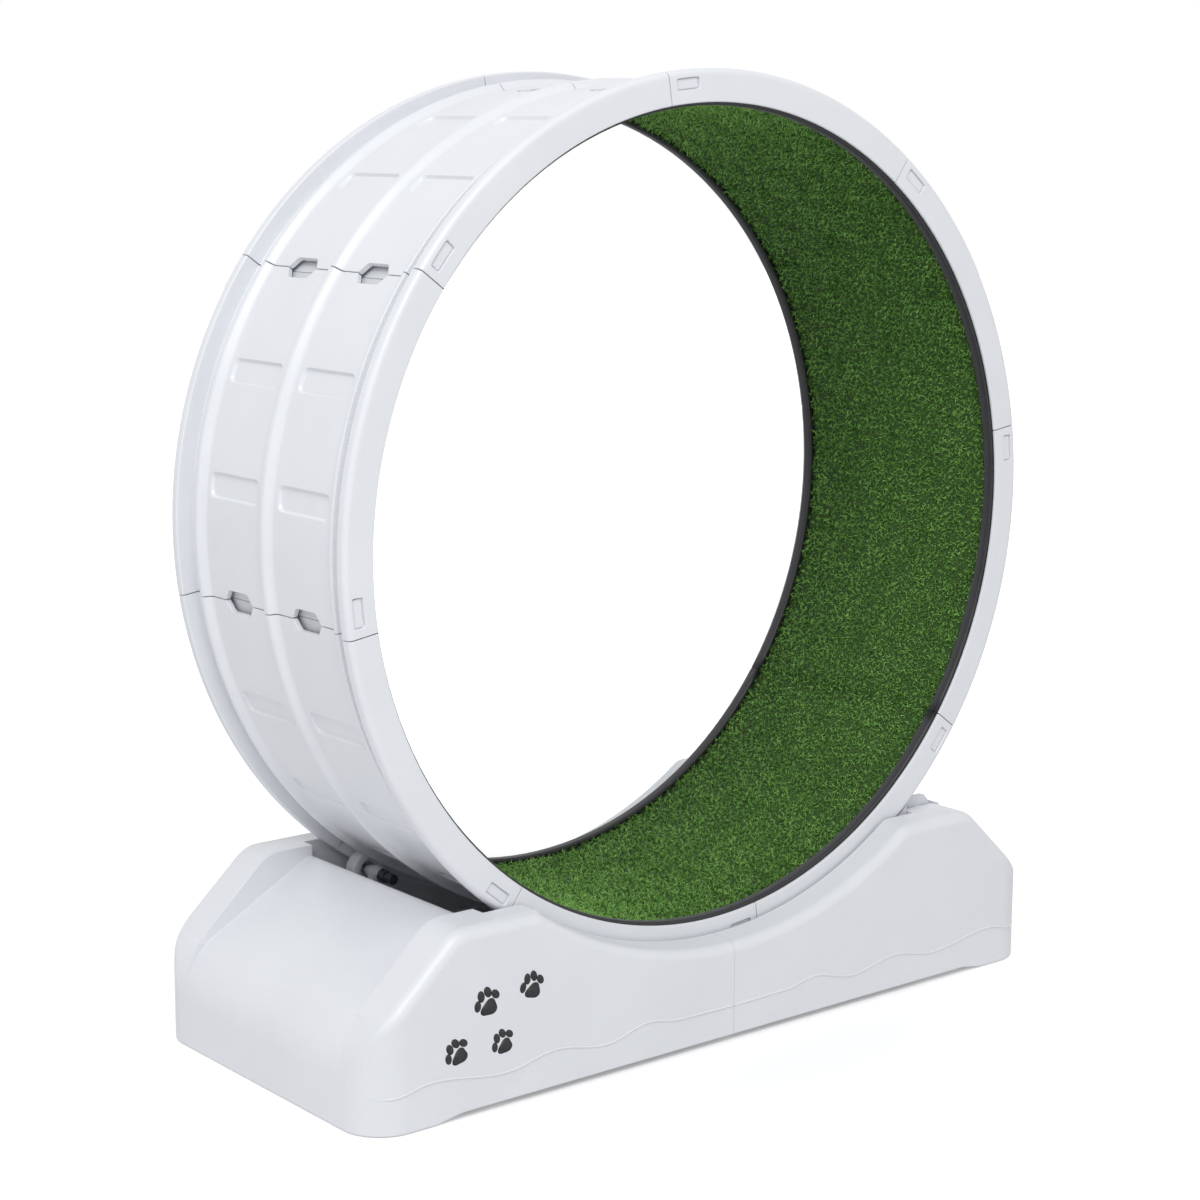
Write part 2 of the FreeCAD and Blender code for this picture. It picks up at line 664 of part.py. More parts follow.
def make_tyre():
    """White roller, moulded round the outer race of its bearing."""
    body = new_body("tyre_form")
    half = S.roller_width / 2
    seat = S.bearing_radius + S.bearing_fit
    shoulder = half_bearing + S.bearing_fit
    section = [(S.roller_bore, -half), (S.roller_radius, -half), (S.roller_radius, half),
               (S.roller_bore, half), (S.roller_bore, shoulder), (seat, shoulder), (seat, -shoulder),
               (S.roller_bore, -shoulder)]
    spin(body, outline(body, "tyre_section", "XY_Plane", [section]))
    round_edges(body, "tyre_rounding", S.roller_rounding,
                lambda edge: is_ring(edge, S.roller_radius, half) or is_ring(edge, S.roller_radius, -half))
    return body


def make_ring(name, inner, outer, start, end):
    """Plain ring about the Y axis."""
    body = new_body(name)
    spin(body, outline(body, name + "_section", "XY_Plane", [block(inner, outer, start, end)]))
    return body


tyre_form = make_tyre()
race_form = make_ring("race_form", race_inside, S.bearing_radius, -half_bearing, half_bearing)
inner_race_form = make_ring("inner_race_form", bolt_hole, inner_race_radius, -half_bearing, half_bearing)
ball_form = doc.addObject("Part::Sphere", "ball_form")
ball_form.Radius = float(S.ball_radius)
bind(ball_form, "Radius", S.ball_radius)
doc.recompute()


def roller_centre(right, rear):
    return V(right * float(roller_x), rear * float(track_middle), float(roller_z))


def facing(rear):
    """Turn of the parts on a roller's bolt: its head is always on the outer side."""
    return FreeCAD.Rotation(V(0, 0, 1), 180 if rear > 0 else 0)


for corner, right, rear in CORNERS:
    where = {"x": right * roller_x, "y": rear * track_middle, "z": roller_z}
    copy_of(tyre_form, "roller_tyre_" + corner, **where)
    copy_of(race_form, "bearing_race_" + corner, **where)
    balls = []
    for number in range(int(S.ball_count)):
        around = FreeCAD.Rotation(V(0, 1, 0), 360.0 / int(S.ball_count) * number)
        offset = around.multVec(V(float(ball_path), 0, 0))
        balls.append((roller_centre(right, rear) + offset, FreeCAD.Rotation()))
    group("bearing_balls_" + corner, ball_form, balls)

on_bolts = [(roller_centre(right, rear), facing(rear)) for corner, right, rear in CORNERS]
group("bearing_inner_races", inner_race_form, on_bolts)


# ---------------------------------------------------------------- bolts, nuts and brackets of the rollers
boss_end = S.boss_start + S.boss_length
nut_start = boss_end + S.washer_height
cap_start = nut_start + S.nut_height + S.cap_gap
bolt_tip = cap_start + S.cap_depth
bracket_height = roller_z - S.deck_height
foot_middle = S.post_start + S.post_thickness / 2


def make_bolt():
    """Bolt through inner race and bracket; its head lies in the roller's outer recess."""
    body = new_body("bolt_form")
    head_face = -half_bearing - S.bolt_head_height
    section = [(0, head_face), (S.bolt_head_radius, head_face), (S.bolt_head_radius, -half_bearing),
               (S.bolt_radius, -half_bearing), (S.bolt_radius, bolt_tip), (0, bolt_tip)]
    spin(body, outline(body, "bolt_section", "XY_Plane", [section]))
    return body


def make_nut():
    """Hexagon nut behind the washer."""
    body = new_body("nut_form")
    corners = [(S.nut_radius * cosine(60 * i), S.nut_radius * sine(60 * i)) for i in range(6)]
    pad(body, outline(body, "nut_section", "XZ_Plane", [corners], lift=-nut_start), S.nut_height, reverse=True)
    pocket(body, circles(body, "nut_bore", "XZ_Plane", [(0, 0)], bolt_hole, lift=-nut_start),
           S.nut_height, reverse=False)
    return body


def make_cap():
    """Dark plastic cap on the bolt's end."""
    body = new_body("cap_form")
    end = cap_start + S.cap_height
    section = [(bolt_hole, cap_start), (S.cap_radius, cap_start), (S.cap_radius, end), (0, end),
               (0, bolt_tip + S.screw_play), (bolt_hole, bolt_tip + S.screw_play)]
    spin(body, outline(body, "cap_section", "XY_Plane", [section]))
    return body


def make_bracket():
    """Cast bracket: foot on the deck, tapered post, boss for the bolt and a nose that meets the inner race."""
    body = new_body("bracket_form")
    head = S.post_head
    foot = S.post_foot / 2
    post = [(-foot, -bracket_height), (foot, -bracket_height), (head, 0), (0, head, head), (-head, 0, head)]
    pad(body, outline(body, "post", "XZ_Plane", [post], lift=-S.post_start), S.post_thickness, reverse=True)
    sketch = circles(body, "boss", "XZ_Plane", [(0, 0)], S.boss_radius, lift=-S.boss_start)
    pad(body, sketch, S.boss_length, reverse=True)
    sketch = circles(body, "nose", "XZ_Plane", [(0, 0)], S.nose_radius, lift=-half_bearing)
    pad(body, sketch, S.post_start - half_bearing, reverse=True)
    plate = block(-S.foot_length / 2, S.foot_length / 2,
                  foot_middle - S.foot_width / 2, foot_middle + S.foot_width / 2)
    pad(body, outline(body, "foot", "XY_Plane", [plate], lift=-bracket_height), S.foot_thickness)
    sketch = circles(body, "bolt_bore", "XZ_Plane", [(0, 0)], bolt_hole, lift=-half_bearing)
    pocket(body, sketch, boss_end, reverse=False)
    holes = [(-S.foot_screw_span / 2, foot_middle), (S.foot_screw_span / 2, foot_middle)]
    sketch = circles(body, "foot_holes", "XY_Plane", holes, S.screw_radius + S.screw_play,
                     lift=S.foot_thickness - bracket_height)
    pocket(body, sketch, S.foot_thickness)
    return body


group("roller_bolts", make_bolt(), on_bolts)
group("roller_washers", make_ring("washer_form", bolt_hole, S.washer_radius, boss_end, nut_start), on_bolts)
group("roller_nuts", make_nut(), on_bolts)
group("bolt_caps", make_cap(), on_bolts)
bracket_form = make_bracket()
for corner, right, rear in CORNERS:
    copy_of(bracket_form, "roller_bracket_" + corner, x=right * roller_x, y=rear * track_middle, z=roller_z,
            angle=180.0 if rear > 0 else 0.0)

bracket_screw_form = make_screw("bracket_screw_form", S.screw_head_radius, S.screw_head_height, S.screw_radius,
                                S.screw_head_height + S.foot_thickness + S.deck_thickness + S.screw_tip)


def bracket_screw_places():
    """Screws point down, their heads on the brackets' feet."""
    down = FreeCAD.Rotation(V(0, 1, 0), V(0, 0, -1))
    for corner, right, rear in CORNERS:
        for side in (-1, 1):
            x = right * float(roller_x) + side * float(S.foot_screw_span / 2)
            y = rear * float(track_middle - foot_middle)
            yield V(x, y, float(S.deck_height + S.foot_thickness + S.screw_head_height)), down


group("bracket_screws", bracket_screw_form, bracket_screw_places())


# ---------------------------------------------------------------- base halves
half_base = S.base_length / 2
crest_half = half_base - S.crest_inset
arch_half = half_base - S.arch_inset
hollow_half = half_base - S.cheek_hollow_inset
pad_x = half_base - S.pad_inset_x
pad_y = S.base_width / 2 - S.pad_inset_y
seam = S.seam_gap / 2
well_side = half_width + S.well_play
deck_underside = S.deck_height - S.deck_thickness
cover_run = half_base - S.cover_start
cover_drop = S.cover_top - S.cover_end_height
cover_slope = root(cover_run * cover_run + cover_drop * cover_drop)
steepness = cover_drop / cover_slope
bend_length = S.cover_bend * root((1 - steepness) / (1 + steepness))
bend_x = half_base - bend_length * cover_run / cover_slope
bend_z = S.cover_end_height + bend_length * steepness
end_z = S.cover_end_height - bend_length


def make_base():
    """Right half of the base, moulded hollow and open below."""
    body = new_body("base_form")
    past = S.base_wall
    side_view = [(seam, S.base_lift), (half_base, S.base_lift), (half_base, S.end_height),
                 (crest_half, S.crest_height), (seam, S.crest_height)]
    pad(body, outline(body, "side_view", "XZ_Plane", [side_view]), S.base_width, symmetric=True)
    shape_cheeks(body)
    well = block(-past, S.well_half, S.deck_height, S.crest_height + past)
    pocket(body, outline(body, "well", "XZ_Plane", [well]), 2 * well_side, symmetric=True)
    above_cover = [(S.well_half, S.cover_top), (S.cover_start, S.cover_top), (bend_x, bend_z),
                   (half_base, end_z, -S.cover_bend), (half_base + past, end_z),
                   (half_base + past, S.crest_height + past), (S.well_half, S.crest_height + past)]
    pocket(body, outline(body, "above_cover", "XZ_Plane", [above_cover]), 2 * S.cover_half, symmetric=True)
    arch = [(-past, 0), (arch_half + S.arch_run, 0), (arch_half + S.arch_run, S.base_lift),
            (arch_half, S.arch_height), (-past, S.arch_height)]
    pocket(body, outline(body, "arch", "XZ_Plane", [arch]), S.base_width + past, symmetric=True)
    hollow_middle(body, past)
    hollow_cheeks(body)
    add_base_holes(body)
    return body


def shape_cheeks(body):
    """Corner, crest and top edge roundings, and the saddle that shows the wheel."""
    half_side = S.base_width / 2
    round_edges(body, "crest_rounding_outer", S.crest_rounding,
                lambda e: near(e.CenterOfMass.x, crest_half) and near(e.CenterOfMass.y, 0)
                and near(e.CenterOfMass.z, S.crest_height))
    round_edges(body, "corner_rounding", S.corner_radius,
                lambda e: near(e.BoundBox.XMin, half_base) and e.BoundBox.XLength < 0.1
                and e.BoundBox.YLength < 0.1 and near(abs(e.CenterOfMass.y), half_side))
    saddle = circles(body, "saddle", "XZ_Plane", [(0, axle_height)], saddle_radius)
    pocket(body, saddle, S.base_width + S.base_wall, symmetric=True)
    rise = axle_height - S.crest_height
    shoulder = root(saddle_radius * saddle_radius - rise * rise)
    round_edges(body, "shoulder_rounding_inner", S.shoulder_rounding,
                lambda e: near(e.CenterOfMass.x, shoulder, 2) and near(e.CenterOfMass.y, 0)
                and near(e.CenterOfMass.z, S.crest_height))

    def on_top_edge(edge):
        box = edge.BoundBox
        along_side = (box.ZMin > S.arch_height and box.YLength < half_side and edge.CenterOfMass.x > 1
                      and max(abs(box.YMin), abs(box.YMax)) > half_side - 0.1)
        across_end = near(edge.CenterOfMass.x, half_base) and near(edge.CenterOfMass.z, S.end_height)
        return along_side or across_end

    round_edges(body, "cheek_edge_rounding", S.cheek_rounding, on_top_edge)


def hollow_middle(body, past):
    """Hollows below the deck and below the end cover, and the notch for the joining plate."""
    below_deck = block(seam + S.base_wall, S.well_half, 0, deck_underside)
    pocket(body, outline(body, "below_deck", "XZ_Plane", [below_deck]), 2 * well_side, symmetric=True)
    notch = block(-past, seam + S.base_wall + past, 0, deck_underside)
    notch_width = S.plate_width + 2 * S.plate_play
    pocket(body, outline(body, "plate_notch", "XZ_Plane", [notch]), notch_width, symmetric=True)
    end_wall = half_base - S.base_wall
    below_cover = [(S.cover_start, 0), (end_wall, 0), (end_wall, end_z), (bend_x, bend_z - 2 * S.cover_wall),
                   (S.cover_start, S.cover_top - S.cover_wall)]
    pocket(body, outline(body, "below_cover", "XZ_Plane", [below_cover]), 2 * S.cover_half - S.base_wall,
           symmetric=True)


def hollow_cheeks(body):
    """Hollows inside the cheeks, two beside the well and two beside the end cover."""
    inner_saddle = saddle_radius + S.cheek_roof
    roof = S.crest_height - S.cheek_roof
    rise = axle_height - roof
    near_x = seam + S.base_wall
    near_z = axle_height - root(inner_saddle * inner_saddle - near_x * near_x)
    crest_x = root(inner_saddle * inner_saddle - rise * rise)
    beside_well = [(near_x, 0), (S.well_half, 0), (S.well_half, roof), (crest_x, roof),
                   (near_x, near_z, -inner_saddle)]
    fall = (S.crest_height - S.end_height) / (half_base - crest_half)
    sloped_roof = S.cheek_roof * root(1 + fall * fall)
    bend = crest_half - (sloped_roof - S.cheek_roof) / fall
    low_roof = S.crest_height - (hollow_half - crest_half) * fall - sloped_roof
    beside_cover = [(S.cover_start, 0), (hollow_half, 0), (hollow_half, low_roof), (bend, roof),
                    (S.cover_start, roof)]
    outer = S.base_width / 2 - S.base_wall
    for name, loop, inner in (("beside_well", beside_well, well_side + S.base_wall),
                              ("beside_cover", beside_cover, S.cover_half + S.base_wall / 2)):
        for side, face in ((1, "front"), (-1, "rear")):
            sketch = outline(body, "%s_%s" % (name, face), "XZ_Plane", [loop], lift=side * outer)
            pocket(body, sketch, outer - inner, reverse=side < 0)


def add_base_holes(body):
    """Recesses of the rubber feet and holes for the bracket and plate screws."""
    feet = [(pad_x, pad_y), (pad_x, -pad_y)]
    pocket(body, circles(body, "foot_recess", "XY_Plane", feet, S.pad_radius + S.seat_gap), S.pad_height,
           reverse=True)
    y = track_middle - foot_middle
    spots = [(roller_x + a * S.foot_screw_span / 2, b * y) for a in (-1, 1) for b in (-1, 1)]
    radius = S.screw_radius + S.screw_play
    pocket(body, circles(body, "bracket_holes", "XY_Plane", spots, radius, lift=S.deck_height),
           S.deck_thickness + S.screw_tip)
    spots = [(S.plate_screw_x, S.plate_screw_y), (S.plate_screw_x, 0), (S.plate_screw_x, -S.plate_screw_y)]
    pocket(body, circles(body, "plate_holes", "XY_Plane", spots, radius, lift=deck_underside),
           S.plate_screw_depth, reverse=True)


base_form = make_base()
copy_of(base_form, "base_half_right")
copy_of(base_form, "base_half_left", angle=180.0)


# ---------------------------------------------------------------- joining plate, its screws and the feet
def make_joining_plate():
    """Flat plate under the deck that ties both halves together."""
    body = new_body("joining_plate")
    low = deck_underside - S.plate_thickness
    area = block(-S.plate_length / 2, S.plate_length / 2, -S.plate_width / 2, S.plate_width / 2)
    pad(body, outline(body, "plate_area", "XY_Plane", [area], lift=low), S.plate_thickness)
    spots = [(a * S.plate_screw_x, b * S.plate_screw_y) for a in (-1, 1) for b in (-1, 1)]
    spots += [(S.plate_screw_x, 0), (-S.plate_screw_x, 0)]
    pocket(body, circles(body, "plate_bores", "XY_Plane", spots, S.screw_radius + S.screw_play,
                         lift=deck_underside), S.plate_thickness)
    return keep(body)


make_joining_plate()
joining_screw_form = make_screw("joining_screw_form", S.screw_head_radius, S.screw_head_height, S.screw_radius,
                                S.screw_head_height + S.plate_thickness + S.plate_screw_depth - S.screw_play)
upwards = FreeCAD.Rotation(V(0, 1, 0), V(0, 0, 1))
screw_face = float(deck_underside - S.plate_thickness - S.screw_head_height)
group("joining_screws", joining_screw_form,
      [(V(a * float(S.plate_screw_x), b * float(S.plate_screw_y), screw_face), upwards)
       for a in (-1, 1) for b in (-1, 0, 1)])

foot_form = doc.addObject("Part::Cylinder", "foot_form")
foot_form.Radius = float(S.pad_radius)
foot_form.Height = float(S.pad_height)
bind(foot_form, "Radius", S.pad_radius)
bind(foot_form, "Height", S.pad_height)
doc.recompute()
group("rubber_feet", foot_form,
      [(V(a * float(pad_x), b * float(pad_y), 0), FreeCAD.Rotation()) for a in (-1, 1) for b in (-1, 1)])


# ---------------------------------------------------------------- stop slide and its guide
def cover_surface(x):
    """Height of the end cover's slope."""
    return S.cover_top - (x - S.cover_start) * cover_drop / cover_run


def make_slide():
    """White slide whose shoe presses on the front flange and holds the wheel."""
    body = new_body("stop_slide")
    shoe_back = S.well_half - S.shoe_back
    low = axle_height - S.slide_bed
    contact = root(S.wheel_radius * S.wheel_radius - low * low) + S.slide_travel
    back = shoe_back - S.slide_travel
    tip = axle_height - root(S.wheel_radius * S.wheel_radius - back * back)
    stem = [(shoe_back, S.slide_bed), (S.slide_back + S.slide_chamfer + S.slide_lean, S.slide_bed),
            (S.slide_back + S.slide_chamfer, S.slide_top - S.slide_chamfer), (S.slide_back, S.slide_top),
            (shoe_back, S.slide_top)]
    pad(body, outline(body, "stem", "XZ_Plane", [stem], lift=S.slide_middle), S.slide_thickness, symmetric=True)
    shoe = [(contact, S.slide_bed), (shoe_back, S.slide_bed), (shoe_back, tip)]
    inner = S.slide_middle - S.slide_thickness / 2
    pad(body, outline(body, "shoe", "XZ_Plane", [shoe], lift=inner), S.slide_thickness / 2 + S.shoe_reach)
    sketch = circles(body, "knob", "XZ_Plane", [(S.knob_x, S.slide_bed + S.knob_radius)], S.knob_radius,
                     lift=S.slide_middle)
    pad(body, sketch, S.slide_thickness / 2 + S.knob_height)
    return keep(body)


def make_guide():
    """Guide that stands on the end cover's slope: bed, lip and end wall."""
    body = new_body("stop_guide")
    outer = S.cover_half - S.guide_play
    inner = S.slide_middle - S.slide_thickness / 2 - S.guide_play - S.guide_wall
    bed = S.slide_bed - S.guide_play
    start = S.cover_start + S.guide_wall
    end = S.guide_end - S.guide_wall
    bed_view = [(start, cover_surface(start)), (S.guide_end, cover_surface(S.guide_end)), (S.guide_end, bed),
                (start, bed)]
    pad(body, outline(body, "guide_bed", "XZ_Plane", [bed_view], lift=inner), outer - inner)
    lip_view = [(start, cover_surface(start)), (S.guide_end, cover_surface(S.guide_end)),
                (S.guide_end, bed + S.guide_lip), (start, bed + S.guide_lip)]
    pad(body, outline(body, "guide_lip_view", "XZ_Plane", [lip_view], lift=inner), S.guide_wall)
    wall_view = [(end, cover_surface(end)), (S.guide_end, cover_surface(S.guide_end)),
                 (S.guide_end, S.guide_back), (end, S.guide_back)]
    pad(body, outline(body, "guide_end_wall", "XZ_Plane", [wall_view], lift=outer - S.guide_back_width),
        S.guide_back_width)
    return keep(body)


make_slide()
make_guide()


# ---------------------------------------------------------------- checks and export
def check_everything():
    doc.recompute()
    for thing in doc.Objects:
        if "Invalid" in thing.State or "Error" in thing.State:
            raise RuntimeError("%s is in state %s" % (thing.Name, thing.State))
    for thing in PARTS:
        if thing.Shape.isNull() or not thing.Shape.isValid() or not thing.Shape.Solids:
            raise RuntimeError("%s has no valid shape" % thing.Label)


check_everything()
os.makedirs("parts", exist_ok=True)
for thing in PARTS:
    thing.Shape.exportStep("parts/%s.step" % thing.Label)
    print("%-28s %3d solids %12.1f mm3" % (thing.Label, len(thing.Shape.Solids), thing.Shape.Volume))
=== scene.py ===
"""Cat exercise wheel for Blender: the moulded ring with its turf floor, the rollers and the two-part base."""
import math
import random
import bmesh
import bpy
from mathutils import Matrix, Vector


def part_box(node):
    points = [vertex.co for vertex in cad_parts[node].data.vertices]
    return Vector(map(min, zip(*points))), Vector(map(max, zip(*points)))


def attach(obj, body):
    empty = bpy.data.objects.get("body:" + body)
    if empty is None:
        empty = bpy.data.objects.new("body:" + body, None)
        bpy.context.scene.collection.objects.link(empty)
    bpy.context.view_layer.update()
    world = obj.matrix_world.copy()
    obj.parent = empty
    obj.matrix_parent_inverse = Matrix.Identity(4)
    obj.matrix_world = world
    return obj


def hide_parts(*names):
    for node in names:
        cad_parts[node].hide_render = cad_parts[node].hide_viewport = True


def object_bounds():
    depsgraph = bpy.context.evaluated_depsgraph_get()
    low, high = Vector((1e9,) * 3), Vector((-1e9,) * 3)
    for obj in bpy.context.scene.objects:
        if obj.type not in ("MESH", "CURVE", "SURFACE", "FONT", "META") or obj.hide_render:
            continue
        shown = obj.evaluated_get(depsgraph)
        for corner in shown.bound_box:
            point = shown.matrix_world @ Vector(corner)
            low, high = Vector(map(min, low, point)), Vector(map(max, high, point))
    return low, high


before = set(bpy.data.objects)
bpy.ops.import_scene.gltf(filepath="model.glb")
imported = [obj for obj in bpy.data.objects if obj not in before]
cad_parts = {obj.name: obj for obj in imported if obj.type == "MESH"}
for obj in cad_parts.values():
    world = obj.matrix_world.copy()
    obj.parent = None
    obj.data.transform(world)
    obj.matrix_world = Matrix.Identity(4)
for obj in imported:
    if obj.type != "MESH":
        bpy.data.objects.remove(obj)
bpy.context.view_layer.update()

# ------------------------------------------------------------------ Camera
# The picture is taken with a long lens from the front left, a little above the wheel's middle.
camera_place = (-1.9037, -2.2882, 1.035)
camera_turn = 39.36
camera_tilt = 10.49
camera_roll = 0.37
camera = bpy.data.objects.new("camera", bpy.data.cameras.new("camera"))
bpy.context.scene.collection.objects.link(camera)
camera.data.lens = 76.8
camera.data.sensor_width = 36.0
camera.matrix_world = (Matrix.Translation(camera_place)
                       @ Matrix.Rotation(math.radians(-camera_turn), 4, "Z")
                       @ Matrix.Rotation(math.radians(90 - camera_tilt), 4, "X")
                       @ Matrix.Rotation(math.radians(camera_roll), 4, "Z"))
bpy.context.scene.camera = camera
bpy.context.scene.view_settings.view_transform = "Standard"


# ------------------------------------------------------------------ Ring segments
# Eight equal segments of white moulded plastic snap into each other and make the ring. Each has a flange and
# a roller track on both sides, ridges and a middle rib, panels with shallow pockets, half windows at both
# ends, and in its rim faces latch windows through which the next segment's latch buttons show.
mm = 0.001
turf_low, turf_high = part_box("turf_mat")
axle_height = (turf_low.z + turf_high.z) / 2
wheel_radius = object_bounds()[1].z - axle_height
half_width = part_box("wheel_segment_1")[1].y
segment_count = 8
half_pitch = 180 / segment_count
first_joint = 8.87
joint_gap = 1.2 * mm
half_span = half_pitch - math.degrees(joint_gap / 2 / wheel_radius)

rib_radius = wheel_radius - 9 * mm
panel_radius = wheel_radius - 17 * mm
track_radius = wheel_radius - 20 * mm
skin_radius = wheel_radius - 23 * mm
seat_radius = wheel_radius - 26.7 * mm
rim_inner_radius = wheel_radius - 36.3 * mm
latch_radius = wheel_radius - 15 * mm
latch_half_height = 6.5 * mm
latch_half_length = 16 * mm
latch_depth = 3.2 * mm
latch_corner = 3 * mm
latch_angle = 3.1
button_play, button_recess, button_thickness, button_corner = 1.2 * mm, 2.0 * mm, 1.1 * mm, 2.2 * mm

window_middle = 67 * mm
window_half_width = 27 * mm
window_half_edge = 18.5 * mm
window_length = 12.5 * mm
window_start = half_pitch - math.degrees(window_length / panel_radius)
window_corner = 3 * mm
dimple_near, dimple_far = 20 * mm, 116 * mm
dimple_angle = 7.5
dimple_half_turn = math.degrees(14 * mm / panel_radius)
dimple_start, dimple_end = dimple_angle - dimple_half_turn, dimple_angle + dimple_half_turn
dimple_depth = 3.8 * mm
dimple_wall = 1.8 * mm
dimple_corner = 7 * mm
window_places = [window_middle - window_half_width, window_middle - window_half_edge,
                 window_middle + window_half_edge, window_middle + window_half_width]

# Corners of half the section: radius, distance from the wheel's middle plane and rounding of the corner. They
# run from the middle rib over the panel, the ridge, the track and the flange, and back along the inside.
half_section = [(rib_radius, 4.5 * mm, 2.5 * mm), (panel_radius, 10 * mm, 4 * mm),
                (panel_radius, dimple_near, 0)]
half_section += [(panel_radius, y, 0) for y in window_places]
half_section += [
    (panel_radius, dimple_far, 0), (panel_radius, 123 * mm, 2.5 * mm),
    (rib_radius, 130 * mm, 2 * mm), (rib_radius, 136 * mm, 1.5 * mm),
    (track_radius, 136.5 * mm, 1.2 * mm), (track_radius, 157 * mm, 1.5 * mm),
    (wheel_radius, 157.5 * mm, 2 * mm), (wheel_radius, half_width, 6 * mm),
    (latch_radius + latch_half_height, half_width, 0), (latch_radius - latch_half_height, half_width, 0),
    (rim_inner_radius, half_width, 1.5 * mm), (rim_inner_radius, 168 * mm, 1.2 * mm),
    (seat_radius, 168 * mm, 0), (seat_radius, 126.5 * mm, 0), (skin_radius, 126.5 * mm, 0)]
half_section += [(skin_radius, y, 0) for y in reversed(window_places)]


def on_ring(radius, angle, y):
    """Point of the ring about the origin, its angle measured from +X towards +Z."""
    return Vector((radius * math.cos(math.radians(angle)), y, radius * math.sin(math.radians(angle))))


def angle_of(place):
    """Angle of a point about the Y axis, from +X towards +Z."""
    return math.degrees(math.atan2(place.z, place.x))


def radius_of(place):
    """Distance of a point from the Y axis."""
    return math.hypot(place.x, place.z)


def nearest(bm, place):
    """Vertex of a bmesh that lies nearest to a place."""
    return min(bm.verts, key=lambda v: (v.co - place).length_squared)


def round_edges_of(bm, edges, width, steps):
    """Round some edges of a bmesh."""
    bmesh.ops.bevel(bm, geom=edges, offset=width, offset_type="OFFSET", segments=steps, profile=0.5,
                    affect="EDGES", clamp_overlap=False, material=-1)


def rounded_section(corners):
    """Closed wire in the XY plane through the corners, each rounded by its third number."""
    bm = bmesh.new()
    verts = [bm.verts.new((radius, y, 0)) for radius, y, rounding in corners]
    bm.faces.new(verts)
    for size in sorted({rounding for radius, y, rounding in corners if rounding}):
        chosen = [v for v, corner in zip(verts, corners) if corner[2] == size]
        steps = 5 if size > 3 * mm else 3
        bmesh.ops.bevel(bm, geom=chosen, offset=size, offset_type="OFFSET", segments=steps, profile=0.5,
                        affect="VERTICES", clamp_overlap=False, material=-1)
    bmesh.ops.delete(bm, geom=bm.faces, context="FACES_ONLY")
    return bm


def sweep(bm, stations, widest):
    """Carry the wire of a section round the Y axis through the stations' angles."""
    turn = Matrix.Rotation(-math.radians(stations[0]), 3, "Y")
    bmesh.ops.rotate(bm, verts=bm.verts, cent=(0, 0, 0), matrix=turn)
    end = bm.verts[:] + bm.edges[:]
    for start, stop in zip(stations, stations[1:]):
        steps = max(1, math.ceil((stop - start) / widest))
        end = bmesh.ops.spin(bm, geom=end, cent=(0, 0, 0), axis=(0, -1, 0), angle=math.radians(stop - start),
                             steps=steps, use_merge=False)["geom_last"]


def open_windows(bm):
    """Half a six-sided window at both ends and on both sides, through both skins of the panels."""
    for end in (-1, 1):
        for side in (-1, 1):
            for radius in (panel_radius, skin_radius):
                for y_end, y_start in (window_places[:2], window_places[:1:-1]):
                    a = nearest(bm, on_ring(radius, end * half_span, side * y_end))
                    b = nearest(bm, on_ring(radius, end * window_start, side * y_start))
                    bmesh.ops.connect_verts(bm, verts=[a, b])
    gone = []
    for face in bm.faces:
        place = face.calc_center_median()
        past = (abs(angle_of(place)) - window_start) / (half_span - window_start)
        reach = window_half_edge + past * (window_half_width - window_half_edge)
        in_panel = radius_of(place) < rib_radius - 4 * mm
        if past > 0 and in_panel and abs(abs(place.y) - window_middle) < reach:
            gone.append(face)
    bmesh.ops.delete(bm, geom=gone, context="FACES")
    rims = [edge for edge in bm.edges if len(edge.link_faces) == 1
            and min(abs(angle_of(v.co)) for v in edge.verts) < half_span - 0.1]
    for end in (-1, 1):
        for side in (-1, 1):
            rim = [edge for edge in rims if edge.verts[0].co.z * end > 0 and edge.verts[0].co.y * side > 0]
            bmesh.ops.bridge_loops(bm, edges=rim)
    corners = []
    for end in (-1, 1):
        for side in (-1, 1):
            for y in window_places[1:3]:
                corner = nearest(bm, on_ring(panel_radius, end * window_start, side * y))
                corners += [edge for edge in corner.link_edges
                            if radius_of(edge.other_vert(corner).co) < panel_radius - 3 * mm]
    round_edges_of(bm, corners, window_corner, 3)


def press_dimples(bm):
    """Shallow pockets in the panels, two on each side, with rounded corners."""
    corners = []
    for end in (-1, 1):
        for side in (-1, 1):
            region = []
            for face in bm.faces:
                place = face.calc_center_median()
                if (abs(radius_of(place) - panel_radius) < mm and dimple_near < side * place.y < dimple_far
                        and dimple_start < end * angle_of(place) < dimple_end):
                    region.append(face)
            bmesh.ops.inset_region(bm, faces=region, thickness=dimple_wall, depth=-dimple_depth,
                                   use_boundary=True, use_even_offset=True)
            for angle in (dimple_start, dimple_end):
                for y in (dimple_near, dimple_far):
                    corner = nearest(bm, on_ring(panel_radius, end * angle, side * y))
                    corners += [edge for edge in corner.link_edges
                                if abs(radius_of(edge.other_vert(corner).co) - panel_radius) > 2 * mm]
    round_edges_of(bm, corners, dimple_corner, 4)


def latch_strip(bm, side):
    """Faces of one rim face that lie at the latch windows' height."""
    strip = []
    for face in bm.faces:
        place = face.calc_center_median()
        if (abs(place.y - side * half_width) < 0.01 * mm
                and abs(radius_of(place) - latch_radius) < latch_half_height):
            strip.append(face)
    return strip


